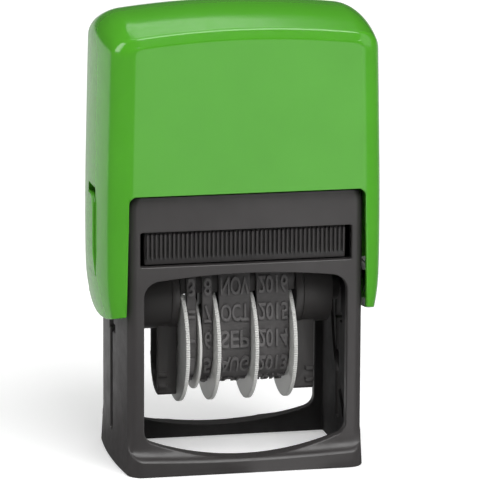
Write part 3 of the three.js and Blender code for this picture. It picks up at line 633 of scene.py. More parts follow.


# Half-width and half-depth of the frame's chamber, a little wide; inside it the frame's black is
# painted darker as shade
FRAME_PAINTED_SHADE_BOX = (25.4 * MM, 14.5 * MM)
FINISHES = {
    "cap_plastic": cap_finish,
    "frame_plastic": lambda colours: black_finish(
        "frame_satin", colours.frame, 0.4, 4200, 0.03 * MM, FRAME_PAINTED_SHADE_BOX,
    ),
    "tray_plastic": lambda colours: black_finish("tray_satin", colours.tray, 0.46, 4200, 0.03 * MM),
    "carriage_plastic": lambda colours: black_finish(
        "carriage_satin", colours.carriage, 0.42, 5200, 0.02 * MM,
    ),
    "band_rubber": lambda colours: rubber_finish("band_rubber", colours.rubber),
    # The type's rubber is the band's rubber made lighter, a painted highlight
    "type_rubber_painted_highlight": lambda colours: rubber_finish("type_rubber_painted_highlight", colours.type),
    "disc_plastic": disc_finish,
    "steel": steel_finish,
    "pad_felt": felt_finish,
}
made_materials = {}


def material(slot):
    if slot not in made_materials:
        made_materials[slot] = FINISHES[slot](bpy.context.scene.date_stamp.colours)
    return made_materials[slot]


# Cap

CAP_FULL_WIDTH = 31.4 * MM
# Shares of the cap's height and of its full half-width
CAP_WIDTH_SHARES = (
    (-0.015, 0.946), (0.02, 0.965), (0.062, 0.9825), (0.111, 0.995),
    (0.181, 1), (0.392, 1), (0.646, 0.989), (1.025, 0.968),
)
CAP_CORNER_STEPS = 14
CAP_BOW_STEPS = 8
CAP_SHOULDER_ROUND = 2.4 * MM
CAP_BEVEL_ROUND = 0.7 * MM
CAP_PROFILE_STEPS = 6
CAP_SKIRT_ROWS = 12
CAP_WALL_ROWS = 14
CAP_TURN_ROWS = 16
CAP_CROWN_ROWS = 16
CAP_TURN_HEIGHT = 95.9 * MM
CAP_CORNER_EASE = 0.03
CAP_MERGE = 0.004 * MM
CAP_EDGE = 0.28 * MM
CAP_RUN_OUT = 0.5 * MM
CAP_CROWN_EXTRA = 0.6 * MM
CAP_VAULT_FOOT = 95.4 * MM
# Shares of the vault's rise, half-width and half-depth
CAP_VAULT_SHARES = (
    (0.25, 0.945, 0.952), (0.43, 0.86, 0.875), (0.61, 0.72, 0.755),
    (0.78, 0.52, 0.63), (0.91, 0.34, 0.51), (1, 0.23, 0.41),
)


def cap_half_width(height):
    """Half-width at the cap's corners, on a smooth curve through the stations."""
    rise = CAP_HIGH.z - CAP_LOW.z
    stations = [
        (CAP_LOW.z + rise * share, CAP_FULL_WIDTH * width) for share, width in CAP_WIDTH_SHARES
    ]
    slopes = [(b[1] - a[1]) / (b[0] - a[0]) for a, b in zip(stations, stations[1:])]
    tangents = [slopes[0]] + [(s + t) / 2 for s, t in zip(slopes, slopes[1:])] + [slopes[-1]]
    height = max(stations[0][0], min(stations[-1][0], height))
    k = max(i for i in range(len(slopes)) if stations[i][0] <= height)
    (z0, w0), (z1, w1) = stations[k], stations[k + 1]
    t = (height - z0) / (z1 - z0)
    bend = (z1 - z0) * t * (1 - t)
    return w0 + (w1 - w0) * eased(t) + bend * (tangents[k] * (1 - t) - tangents[k + 1] * t)


class CapForm:
    """The skin of the cap: its front outline, drawn in towards the front and rear faces."""

    def __init__(self, sizes):
        self.sizes = sizes
        self.straight = CAP_HIGH.y - sizes.corner_radius
        self.bow_radius = (self.straight ** 2 + sizes.side_bow ** 2) / (2 * sizes.side_bow)
        corner_reach = self.bow_radius - sizes.corner_radius
        self.lean = math.asin(self.straight / corner_reach)
        self.corner_set = sizes.side_bow + corner_reach * math.cos(self.lean) - self.bow_radius
        turn_x = cap_half_width(CAP_TURN_HEIGHT) + sizes.side_bow - sizes.crown_corner
        reach = sizes.crown_radius - sizes.crown_corner
        turn_z = CAP_HIGH.z - sizes.crown_radius + math.sqrt(reach ** 2 - turn_x ** 2)
        self.turn_centre = Vector((turn_x, 0, turn_z))
        self.turn_end = math.acos(turn_x / reach)
        self.top_profile = self._top_profile()
        self.side_profile = self._side_profile()

    def _top_profile(self):
        """Depth and drop from the front face's upper edge to the middle of the crown."""
        s = self.sizes
        edge = CAP_HIGH.y - s.shoulder_inset
        bevel = edge - s.bevel_inset
        radius = (bevel ** 2 + s.bevel_drop ** 2) / (2 * s.bevel_drop)
        run = filleted([
            (CAP_HIGH.y, 2 * s.face_drop, 0),
            (CAP_HIGH.y, s.face_drop, CAP_SHOULDER_ROUND),
            (edge, s.shoulder_drop, CAP_BEVEL_ROUND),
            (bevel, s.bevel_drop, 0),
        ], CAP_PROFILE_STEPS)[1:]
        return run + [(y, fall(y, radius)) for y in spread(bevel, 0, CAP_BOW_STEPS)[1:]]

    def _side_profile(self):
        """Depth and inset from the front face's side edge to the middle of the side."""
        s = self.sizes
        corner = arc(
            self.corner_set, self.straight, s.corner_radius, QUARTER, self.lean, CAP_CORNER_STEPS,
        )
        bow = arc(-self.bow_radius, 0, self.bow_radius, self.lean, 0, CAP_BOW_STEPS)
        return [(y, s.side_bow - x) for x, y in corner[:-1]] + [(y, -x) for x, y in bow]

    def half_rows(self):
        """Rows of (x, y, z) on the right half, from the skirt's edge to the middle of the crown."""
        s, turn = self.sizes, self.turn_centre
        heights = spread(CAP_LOW.z - CAP_RUN_OUT, s.cut_head, CAP_SKIRT_ROWS)
        heights += spread(s.cut_head, turn.z, CAP_WALL_ROWS)[1:-1]
        rows = [
            [(cap_half_width(z) + s.side_bow - inset, y, z) for y, inset in self.side_profile]
            for z in heights
        ]
        for share in spread(0, 1, CAP_TURN_ROWS):
            angle = self.turn_end * share
            ease = 1 - CAP_CORNER_EASE * math.sin(math.pi * share) ** 2
            row = []
            for (y0, inset0), (y1, inset1) in zip(self.side_profile, self.top_profile, strict=True):
                reach = s.crown_corner - ease * (inset0 + (inset1 - inset0) * eased(share))
                y = y0 + (y1 - y0) * eased(share)
                row.append((turn.x + reach * math.cos(angle), y, turn.z + reach * math.sin(angle)))
            rows.append(row)
        centre = CAP_HIGH.z - s.crown_radius
        for angle in spread(QUARTER - self.turn_end, 0, CAP_CROWN_ROWS)[1:]:
            radii = [(y, s.crown_radius - drop) for y, drop in self.top_profile]
            rows.append([(r * math.sin(angle), y, centre + r * math.cos(angle)) for y, r in radii])
        return rows

    def outside(self):
        """The whole form as one closed solid, still flat at its foot."""
        half = self.half_rows()
        across = [[(x, -y, z) for x, y, z in row] + row[-2::-1] for row in half]
        left = [[(-x, y, z) for x, y, z in row] for row in across]
        sides = skin(left + across[-2::-1])
        edge = [(row[0][0], row[0][2]) for row in half]
        face = edge + [(-x, z) for x, z in edge[-2::-1]]
        faces = [plate(face, "Y", side * CAP_HIGH.y) for side in SIDES]
        return close(merge(unite(sides, *faces), CAP_MERGE))

    def inside(self):
        """The hollow: straight walls up to the frame's reach, then a vault under the crown."""
        s = self.sizes
        rings = [
            (cap_half_width(z) - s.wall, CAP_HIGH.y - s.wall, z)
            for z in spread(CAP_LOW.z - 2 * CAP_RUN_OUT, CAP_VAULT_FOOT, CAP_WALL_ROWS)
        ]
        half_width, half_depth, _ = rings[-1]
        height = CAP_HIGH.z - s.wall - CAP_CROWN_EXTRA - CAP_VAULT_FOOT
        rings += [
            (half_width * width, half_depth * depth, CAP_VAULT_FOOT + height * rise)
            for rise, width, depth in CAP_VAULT_SHARES
        ]
        rows = []
        for half_width, half_depth, z in rings:
            corner = min(s.corner_radius - s.wall, half_depth / 2)
            plan = bowed_plan(half_width, half_depth, s.side_bow, corner)
            rows.append([(x, y, z) for x, y in plan + plan[:1]])
        return close(merge(skin(rows)))


def cap_blank(sizes):
    """The moulding before the lock buttons are parted from it."""
    form = CapForm(sizes)
    across, through = CAP_HIGH.x + MM, CAP_HIGH.y + MM
    below = CAP_LOW.z - 3 * CAP_RUN_OUT
    edge = [
        (y, CAP_LOW.z + sizes.skirt_rise * (y / CAP_HIGH.y) ** 2)
        for y in spread(through, -through, ARCH_STEPS)
    ]
    cut_out = arched(
        sizes.cut_foot_width, below, sizes.cut_head_width, sizes.cut_head, sizes.cut_corner,
    )
    return carve(
        form.outside(),
        form.inside(),
        prism("skirt", [(through, below), *edge, (-through, below)], "X", -across, across),
        prism("cut_out", cut_out, "Y", -through, through),
    )


BUTTON_STEPS = 10
BUTTON_SLOT_STEPS = 6
GUIDE_RIBS = (-9 * MM, 9 * MM)
GUIDE_RIB_HALF = 0.6 * MM
GUIDE_RIB_FOOT = 47 * MM
GUIDE_RIB_HEAD = 92 * MM
GUIDE_GAP = 0.35 * MM
SPRING_RING = 6.7 * MM
SPRING_RING_BORE = 5.2 * MM
SPRING_RING_DEPTH = 6 * MM
BOSS_RADIUS = 3.1 * MM
BOSS_BORE = 1.35 * MM
BOSS_GAP = 0.3 * MM
BORE_STEPS = 32


class STAMP_OT_cap(bpy.types.Operator):
    """Models the cap with its skirts, guide ribs, bosses and spring ring"""
    bl_idname = "date_stamp.make_cap"
    bl_label = "Cap"

    def execute(self, context):
        sizes = context.scene.date_stamp.cap
        shell = soften(cap_blank(sizes), CAP_EDGE, 3, STEEP_ANGLE)
        inside = FRAME_HIGH.x - SINK
        half = sizes.button_width + sizes.button_gap
        slot = arched(
            half, BUTTON_LOW.z - sizes.button_root_gap, half, BUTTON_HIGH.z + sizes.button_head_gap,
            sizes.button_slot_corner, BUTTON_SLOT_STEPS,
        )
        for side in SIDES:
            carve(shell, prism("slot", slot, "X", side * inside, side * (CAP_HIGH.x + SINK)))
        settle(even(smooth(shell)), "cap", "cap", "cap_plastic", "cap_shell")
        fittings = []
        for side in SIDES:
            wall = cap_half_width(GUIDE_RIB_HEAD) + sizes.side_bow / 2 - sizes.wall + SINK
            inner = side * (FRAME_HIGH.x + GUIDE_GAP / 2)
            rib = rectangle(inner, side * wall, GUIDE_RIB_FOOT, GUIDE_RIB_HEAD)
            for y in GUIDE_RIBS:
                fittings.append(prism("rib", rib, "Y", y - GUIDE_RIB_HALF, y + GUIDE_RIB_HALF))
            wall = cap_half_width(PIVOT.z) + sizes.side_bow - sizes.wall + SINK
            boss = circle(0, PIVOT.z, BOSS_RADIUS)
            boss = prism("boss", boss, "X", side * (FRAME_HIGH.x + BOSS_GAP), side * wall)
            bore = circle(0, PIVOT.z, BOSS_BORE, BORE_STEPS)
            carve(boss, prism("bore", bore, "X", side * inside, side * (ARM_HIGH.x + BOSS_GAP)))
            fittings.append(boss)
        head = CAP_HIGH.z - sizes.wall
        fittings.append(tube(
            "ring", circle(0, 0, SPRING_RING), circle(0, 0, SPRING_RING_BORE),
            "Z", head - SPRING_RING_DEPTH, head + SINK,
        ))
        settle(smooth(unite(*fittings)), "cap_fittings", "cap", "cap_plastic")
        return {'FINISHED'}


CATCH_HALF = 2 * MM
CATCH_FOOT = 59.8 * MM
CATCH_HEIGHT = 2.5 * MM
BUTTON_EDGE = 0.35 * MM
BUTTON_RISE_RUN = 5 * MM


class STAMP_OT_buttons(bpy.types.Operator):
    """Models the lock buttons out of the cap's own walls, with the catch inside"""
    bl_idname = "date_stamp.make_buttons"
    bl_label = "Lock buttons"

    def execute(self, context):
        sizes = context.scene.date_stamp.cap
        half = sizes.button_width
        outline = arched(half, BUTTON_LOW.z, half, BUTTON_HIGH.z, sizes.button_corner, BUTTON_STEPS)
        for side, name in zip(SIDES, ("left", "right")):
            tongue = cap_blank(sizes)
            tool = prism("tongue", outline, "X", side * FRAME_HIGH.x, side * (CAP_HIGH.x + SINK))
            carve(tongue, tool, operation='INTERSECT')
            soften(tongue, BUTTON_EDGE, 3, STEEP_ANGLE)
            low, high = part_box(f"lock_button_{name}")
            for vertex in tongue.data.vertices:
                share = min(1, (vertex.co.z - low.z) / BUTTON_RISE_RUN)
                vertex.co.x += side * sizes.button_rise * share
            inner = high.x if side < 0 else low.x
            root = side * (cap_half_width(CATCH_FOOT) + sizes.side_bow - sizes.wall + SINK)
            catch = rectangle(inner, root, CATCH_FOOT, CATCH_FOOT + CATCH_HEIGHT)
            catch = soften(prism("catch", catch, "Y", -CATCH_HALF, CATCH_HALF), SINK / 2)
            button = smooth(unite(tongue, catch))
            settle(button, f"button_{name}", f"{name}_button", "cap_plastic", f"lock_button_{name}")
        return {'FINISHED'}


# Frame

FRAME_EDGE = 0.35 * MM
LIP_CORNER_SHARE = 0.8
# Shares of the cove's depth and of its height over the lip
BASE_PROFILE_SHARES = (
    (0, 0), (0.03, 0.035), (0.09, 0.075), (0.18, 0.115), (0.29, 0.14), (0.41, 0.155), (0.54, 0.185),
    (0.66, 0.235), (0.77, 0.305), (0.86, 0.395), (0.93, 0.51), (0.98, 0.68), (1, 1),
)
TOP_STEPS = 8
RAIL_GAP = 21.6 * MM
RAIL_THICKNESS = 1 * MM
RAIL_DROP = 0.3 * MM
SEAT_TUBE = 6.7 * MM
SEAT_BORE = 5.3 * MM
SEAT_TUBE_HEIGHT = 6.6 * MM
STIFFENER = 0.6 * MM
STIFFENER_HEIGHT = 4.2 * MM
SLOT_NARROW = 1.3 * MM
SLOT_WIDE = 2.4 * MM
SLOT_FOOT = 6.8 * MM
SLOT_STEP = 30.3 * MM
SLOT_HEAD = 63.6 * MM
DETENT = 1.8 * MM
FOLLOWER_REACH = 6.2 * MM
GROOVE_HALF = 1.3 * MM
GROOVE_DEPTH = 1.2 * MM
GROOVE_STEPS = 64
GROOVE_END_STEPS = 8


def frame_blank(sizes):
    """The outside of the frame as one closed solid, with its lip and cove in front and behind."""
    tower = bowed_plan(sizes.half_width, sizes.half_depth, sizes.side_bow, sizes.corner)
    base = bowed_plan(
        sizes.half_width + sizes.base_overhang, sizes.half_depth + sizes.lip_reach,
        sizes.side_bow, sizes.base_corner,
    )
    top = sizes.lip + sizes.cove + sizes.lip_rise
    rows = []

    def ring(place, squeeze=1.0):
        """A row of points; place gives the shares of the base's overhang, and the height."""
        row = []
        for (x0, y0), (x1, y1), turn in zip(tower, base, sidedness(), strict=True):
            x_share, y_share, z = place(x0, turn)
            row.append(((x0 + (x1 - x0) * x_share) * squeeze, y0 + (y1 - y0) * y_share, z))
        rows.append(row + row[:1])

    def drafted(depth, rise):
        """The base narrows by its profile in front and behind, and evenly at the sides."""
        def place(x, turn):
            lip = sizes.lip + sizes.lip_rise * (x / sizes.half_width) ** 2
            lip += LIP_CORNER_SHARE * sizes.cove * turn ** 2
            z = lip + (top - lip) * rise
            narrow = 1 - z / top
            return narrow, 1 - depth + (narrow - 1 + depth) * eased(turn), z
        return place

    ring(lambda x, turn: (1, 1, 0))
    for depth, rise in BASE_PROFILE_SHARES:
        ring(drafted(depth, rise))
    shoulder = FRAME_HIGH.z - sizes.top_corner
    ring(lambda x, turn: (0, 0, shoulder))
    inner = sizes.half_width - sizes.top_corner
    for ux, uy in arc(0, 0, sizes.top_corner, 0, QUARTER, TOP_STEPS)[1:]:
        ring(lambda x, turn: (0, 0, shoulder + uy), (inner + ux) / sizes.half_width)
    return close(merge(skin(rows)))


def window_outline(sizes, width, foot_height, foot_radius):
    foot = lambda x: foot_height + fall(x, foot_radius)
    head = lambda x: sizes.window_head - fall(x, sizes.window_head_radius)
    reach = width - sizes.window_head_corner - SINK
    across = spread(-reach, reach, ARCH_STEPS)
    return filleted([
        (-width, foot(width), sizes.window_foot_corner),
        *((x, foot(x), 0) for x in across),
        (width, foot(width), sizes.window_foot_corner),
        (width, head(width), sizes.window_head_corner),
        *((x, head(x), 0) for x in reversed(across)),
        (-width, head(width), sizes.window_head_corner),
    ])


def side_slot_outline():
    """The slot down a side for the carriage's pin, wide where the lock button's catch runs."""
    return filleted([
        (-SLOT_NARROW, SLOT_FOOT, SLOT_NARROW / 2), (SLOT_NARROW, SLOT_FOOT, SLOT_NARROW / 2),
        (SLOT_NARROW, SLOT_STEP, 0), (SLOT_WIDE, SLOT_STEP, 0),
        (SLOT_WIDE, SLOT_HEAD, SLOT_WIDE / 2), (-SLOT_WIDE, SLOT_HEAD, SLOT_WIDE / 2),
        (-SLOT_WIDE, SLOT_STEP + DETENT, 0), (-SLOT_WIDE - DETENT, SLOT_STEP + DETENT, 0),
        (-SLOT_WIDE - DETENT, SLOT_STEP, 0), (-SLOT_NARROW, SLOT_STEP, 0),
    ])


def groove_outline():
    """The track that leads a follower pin through the half turn of the carriage."""
    def rim(share, *angles):
        """Points round the pin at a share of the stroke, at angles from its heading."""
        across, down = on_circle(0, 0, FOLLOWER_REACH, math.pi * share)
        pin = Vector((across, PIVOT.z - STROKE * share - down))
        heading = math.atan2(-STROKE / math.pi - across, -down)
        return [on_circle(*pin, GROOVE_HALF, heading + angle) for angle in angles]

    shares = spread(0, 1, GROOVE_STEPS)
    end = spread(-QUARTER, QUARTER, GROOVE_END_STEPS)[1:-1]
    return [
        *(rim(share, -QUARTER)[0] for share in shares),
        *rim(1, *end),
        *(rim(share, QUARTER)[0] for share in reversed(shares)),
        *rim(0, *(angle + math.pi for angle in end)),
    ]


class STAMP_OT_frame(bpy.types.Operator):
    """Models the black frame: windows, slots, cam tracks, flared base, spring seat"""
    bl_idname = "date_stamp.make_frame"
    bl_label = "Frame"

    def execute(self, context):
        sizes = context.scene.date_stamp.frame
        shell = frame_blank(sizes)
        through = FRAME_HIGH.y + MM
        front = -sizes.half_depth + sizes.front_wall
        rear = sizes.half_depth - sizes.rear_wall
        inside = sizes.half_width - sizes.side_wall
        seat = sizes.slot_head + sizes.ceiling
        plan = rectangle(-inside, inside, front, rear, SINK)
        window = window_outline(
            sizes, sizes.window_width, sizes.window_foot, sizes.window_foot_radius,
        )
        rear_window = window_outline(
            sizes, sizes.rear_window_width, sizes.rear_window_foot, sizes.rear_window_foot_radius,
        )
        wide = sizes.slot_width
        slot = rectangle(-wide, wide, sizes.slot_foot, sizes.slot_head, SINK)
        carve(
            shell,
            prism("chamber", plan, "Z", -MM, sizes.slot_head),
            prism("loft", plan, "Z", seat, FRAME_HIGH.z + MM),
            prism("window", window, "Y", -through, 0),
            prism("rear_window", rear_window, "Y", 0, through),
            prism("slot", slot, "Y", -through, through),
        )
        self.cut_sides(shell, side_slot_outline(), inside, FRAME_HIGH.x + MM)
        soften(shell, FRAME_EDGE, 3)
        # The bevel throws a few points of the pad slot's head past the side walls
        for vertex in shell.data.vertices:
            x, y, z = vertex.co
            at_wall = min(abs(y - front), abs(y - rear)) < FRAME_EDGE / 4
            if at_wall and abs(x) > inside + SINK and abs(z - sizes.slot_head) < 2 * FRAME_EDGE:
                vertex.co.x = math.copysign(inside, x)
        self.cut_sides(shell, groove_outline(), inside, inside + GROOVE_DEPTH)
        settle(even(smooth(shell)), "frame", "frame", "frame_plastic", "frame_shell")
        parts = []
        rail_head = sizes.slot_foot - RAIL_DROP
        rail = rectangle(front - SINK, rear + SINK, rail_head - RAIL_THICKNESS, rail_head)
        for side, wall in zip(SIDES, (front, rear)):
            end = side * (inside + SINK)
            parts.append(prism("rail", rail, "X", side * RAIL_GAP, end))
            for axis, far in (("Y", end), ("X", wall + side * SINK)):
                rib = rectangle(side * SEAT_BORE, far, seat - SINK, seat + STIFFENER_HEIGHT)
                parts.append(prism("rib", rib, axis, -STIFFENER, STIFFENER))
        parts.append(tube(
            "tube", circle(0, 0, SEAT_TUBE), circle(0, 0, SEAT_BORE),
            "Z", seat - SINK, seat + SEAT_TUBE_HEIGHT,
        ))
        settle(soften(unite(*parts), SINK / 4), "frame_seats", "frame", "frame_plastic")
        return {'FINISHED'}

    def cut_sides(self, shell, outline, inside, outside):
        """Cuts an outline into both side walls, from their inner faces outwards."""
        for side in SIDES:
            carve(shell, prism("cut", outline, "X", side * (inside - SINK), side * outside))


# Ink cartridge

RIBS = 46
RIB_PITCH = 1 * MM
RIB_WIDTH = 0.46 * MM
RIB_REACH = 0.85 * MM
RIB_HEIGHT = 5.6 * MM
RIB_TOP_INSET = 0.25 * MM
RIB_EDGE = 0.12 * MM
RIB_STEPS = 3
PAD_GAP = 0.3 * MM


class STAMP_OT_cartridge(bpy.types.Operator):
    """Models the tray with its ribbed grip, and the felt pad in it"""
    bl_idname = "date_stamp.make_cartridge"
    bl_label = "Ink cartridge"

    def execute(self, context):
        front = TRAY_LOW.y + RIB_REACH
        tray = rectangle(TRAY_LOW.x, TRAY_HIGH.x, front, TRAY_HIGH.y, SINK)
        tray = prism("tray", tray, "Z", TRAY_LOW.z, TRAY_HIGH.z)
        pocket = self.pad_plan(PAD_GAP)
        carve(tray, prism("pocket", pocket, "Z", TRAY_LOW.z - MM, PAD_HIGH.z + PAD_GAP))
        soften(tray, SINK / 2)
        head = TRAY_HIGH.z - RIB_TOP_INSET
        ribs = []
        for i in range(RIBS):
            left = RIB_PITCH * (i - (RIBS - 1) / 2) - RIB_WIDTH / 2
            rib = rectangle(left, left + RIB_WIDTH, TRAY_LOW.y, front + SINK, RIB_EDGE, RIB_STEPS)
            ribs.append(prism("rib", rib, "Z", head - RIB_HEIGHT, head))
        comb = soften(unite(*ribs), RIB_EDGE, 2, STEEP_ANGLE)
        settle(smooth(unite(tray, comb)), "cartridge", "frame", "tray_plastic", "ink_cartridge")
        pad = soften(prism("pad", self.pad_plan(0), "Z", PAD_LOW.z, PAD_HIGH.z), SINK, 3)
        settle(pad, "felt_pad", "frame", "pad_felt", "ink_pad")
        return {'FINISHED'}

    def pad_plan(self, gap):
        return rectangle(PAD_LOW.x - gap, PAD_HIGH.x + gap, PAD_LOW.y - gap, PAD_HIGH.y + gap, SINK)


# Carriage

ARM_EDGE = 0.22 * MM
ARM_SHIFT = 0.3 * MM
ARM_STEPS = 14
LUG_HEIGHT = 1.1 * MM
LUG_REACH = 0.5 * MM
LUG_LENGTH = 2.1 * MM
# The face, front or rear, and the share of the arm's height
LUG_SHARES = ((-1, 0.073), (-1, 0.19), (1, 0.315))
HUB_BOSS = 3.4 * MM
HUB_FLOOR = 1.4 * MM
HUB_STEPS = 72
WEB_INSET = 0.8 * MM
TRUNNION = 1.1 * MM
HUB_END = 24.8 * MM
FOLLOWER_END = 26 * MM
TENON_TOP = 1.4 * MM
TENON_HEIGHT = 2.2 * MM
BRIDGE_FLAT = 3 * MM
BRIDGE_RELIEF = 14.3 * MM
BRIDGE_RELIEF_STEPS = 160
BRIDGE_FOOT = 39 * MM
BRIDGE_STEPS = 16
AXLE_STEPS = 48
AXLE_HOLE_STEPS = 40
RING_STEPS = 128


def tenon(gap):
    """Outline of the bridge's tenon, or of its hole in an arm."""
    head = BRIDGE_HIGH.z - TENON_TOP
    return rectangle(-BRIDGE_FLAT - gap, BRIDGE_FLAT + gap, head - TENON_HEIGHT - gap, head + gap)


class STAMP_OT_arms(bpy.types.Operator):
    """Models the two arms of the carriage with their hubs, pins and lugs"""
    bl_idname = "date_stamp.make_arms"
    bl_label = "Carriage arms"

    def execute(self, context):
        sizes = context.scene.date_stamp.carriage
        inner = ARM_LOW.x
        plate_face = inner + sizes.arm_plate
        rim = HUB_END - sizes.hub_setback
        half, foot = sizes.arm_half_depth, ARM_LOW.z
        reach = sizes.hub - sizes.hub_wall / 2

        def leg_outline(inset):
            return filleted([
                (-half + inset, foot + inset, max(sizes.toe - inset, 0)),
                (half - inset, foot + inset, sizes.heel - inset),
                (half - inset, PIVOT.z, 0),
                (-half + inset, PIVOT.z, 0),
            ], ARM_STEPS)

        for side, name in zip(SIDES, ("left", "right")):
            outer = sizes.arm_outside + side * ARM_SHIFT
            hub_face = outer + HUB_FLOOR

            def solid(outline, low, high):
                return prism("solid", outline, "X", side * low, side * high)

            def disc(y, z, radius, low, high, steps=HUB_STEPS):
                return solid(circle(y, z, radius, steps), low, high)

            arm = solid(leg_outline(0), inner, outer)
            carve(arm, solid(leg_outline(sizes.flange), plate_face, outer + MM))
            carve(
                arm,
                disc(0, PIVOT.z, sizes.head, inner, plate_face),
                disc(0, PIVOT.z, sizes.hub, inner, rim),
                operation='UNION',
            )
            carve(arm, disc(0, PIVOT.z, sizes.hub - sizes.hub_wall, hub_face, rim + MM))
            webs = [
                solid(rectangle(-y, y, PIVOT.z - z, PIVOT.z + z), hub_face - SINK, rim - WEB_INSET)
                for y, z in ((STIFFENER, reach), (reach, STIFFENER))
            ]
            lugs = []
            for face, share in LUG_SHARES:
                low = foot + (PIVOT.z - foot) * share
                lug = (face * (half - SINK), face * (half + LUG_REACH), low, low + LUG_HEIGHT)
                lugs.append(solid(rectangle(*lug), outer - LUG_LENGTH, outer))
            carve(
                arm,
                *webs,
                *lugs,
                disc(0, PIVOT.z, HUB_BOSS, plate_face, HUB_END),
                disc(0, PIVOT.z, TRUNNION, HUB_END - SINK, ARM_HIGH.x, BORE_STEPS),
                disc(FOLLOWER_REACH, PIVOT.z, TRUNNION, hub_face - SINK, FOLLOWER_END, BORE_STEPS),
                operation='UNION',
            )
            hole = (inner - MM, plate_face + SINK)
            carve(
                arm,
                disc(0, AXLE_HEIGHT, sizes.axle + PART_GAP, *hole, AXLE_HOLE_STEPS),
                solid(tenon(SINK), *hole),
            )
            soften(flatten(arm), ARM_EDGE, 2)
            settle(arm, f"arm_{name}", "carriage", "carriage_plastic", f"carriage_arm_{name}")
        return {'FINISHED'}


class STAMP_OT_fittings(bpy.types.Operator):
    """Models the bridge, the axle, its clips, the washer and the separator disc"""
    bl_idname = "date_stamp.make_fittings"
    bl_label = "Carriage fittings"

    def execute(self, context):
        sizes = context.scene.date_stamp.wheels
        axle_radius = context.scene.date_stamp.carriage.axle
        turn = sizes.bridge_turn - PART_GAP
        half = sizes.bridge_flat + turn
        reach = ARM_LOW.x - PART_GAP
        bar = arched(half, BRIDGE_FOOT, half, BRIDGE_HIGH.z, turn, BRIDGE_STEPS)
        bar = prism("bridge", bar, "X", -reach, reach)
        relief = circle(0, AXLE_HEIGHT, BRIDGE_RELIEF, BRIDGE_RELIEF_STEPS)
        carve(bar, prism("relief", relief, "X", -ARM_LOW.x, ARM_LOW.x))
        carve(bar, prism("tenon", tenon(0), "X", BRIDGE_LOW.x, BRIDGE_HIGH.x), operation='UNION')
        soften(flatten(bar), SINK / 4)
        settle(bar, "bridge", "carriage", "carriage_plastic", "type_bridge")
        axle = circle(0, AXLE_HEIGHT, axle_radius, AXLE_STEPS)
        axle = soften(prism("axle", axle, "X", AXLE_LOW.x, AXLE_HIGH.x), SINK / 2)
        settle(axle, "axle", "carriage", "steel", "wheel_axle")
        bore = circle(0, AXLE_HEIGHT, axle_radius + PART_GAP, AXLE_STEPS)
        for node, name, slot in (
            ("axle_clip_left", "clip_left", "steel"),
            ("axle_clip_right", "clip_right", "steel"),
            ("spacer_washer", "washer", "steel"),
            ("separator_disc", "separator", "disc_plastic"),
        ):
            low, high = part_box(node)
            radius = sizes.separator if name == "separator" else high.y
            outline = circle(0, AXLE_HEIGHT, radius, RING_STEPS)
            ring = tube("ring", outline, bore, "X", low.x, high.x)
            soften(ring, min(SINK / 4, (high.x - low.x) / 5))
            settle(ring, name, "carriage", slot, node)
        return {'FINISHED'}


# Wheels and bands

WHEEL_BODIES = {
    "day_tens": "tens_dial", "day_units": "units_dial", "month": "month_dial", "year": "year_dial",
}
KNURL_POINTS = 6
DISC_EDGE = 0.13 * MM
DRUM_TEETH = 14
DRUM_TOOTH = 0.5 * MM


def wheel_outline(radii):
    """A closed outline round the axle, with a point for each radius."""
    turn = TURN / len(radii)
    return [on_circle(0, AXLE_HEIGHT, radius, turn * i) for i, radius in enumerate(radii)]


class STAMP_OT_wheels(bpy.types.Operator):
    """Models the date wheels with their knurled thumb discs"""
    bl_idname = "date_stamp.make_wheels"
    bl_label = "Date wheels"

    def execute(self, context):
        sizes = context.scene.date_stamp.wheels
        knurl = [
            sizes.radius - sizes.knurl_depth * (1 - math.cos(TURN * i / KNURL_POINTS)) / 2
            for i in range(KNURL_POINTS)
        ]
        rim = wheel_outline(knurl * sizes.teeth)
        drum = wheel_outline([sizes.drum, sizes.drum - DRUM_TOOTH] * DRUM_TEETH)
        bore = circle(0, AXLE_HEIGHT, context.scene.date_stamp.carriage.axle + PART_GAP, AXLE_STEPS)
        for name, body in WHEEL_BODIES.items():
            low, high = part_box(f"{name}_wheel")
            band_low, band_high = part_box(f"{name}_band")
            if band_low.x - low.x > high.x - band_high.x:
                middle = low.x + sizes.thickness
                disc, barrel = (low.x, middle), (middle, high.x)
            else:
                middle = high.x - sizes.thickness
                disc, barrel = (middle, middle + sizes.thickness), (low.x, middle)
            disc = soften(tube("disc", rim, bore, "X", *disc), DISC_EDGE, 2, STEEP_ANGLE)
            barrel = smooth(tube("barrel", drum, bore, "X", *barrel))
            settle(unite(disc, barrel), f"{name}_dial", body, "disc_plastic", f"{name}_wheel")
        return {'FINISHED'}


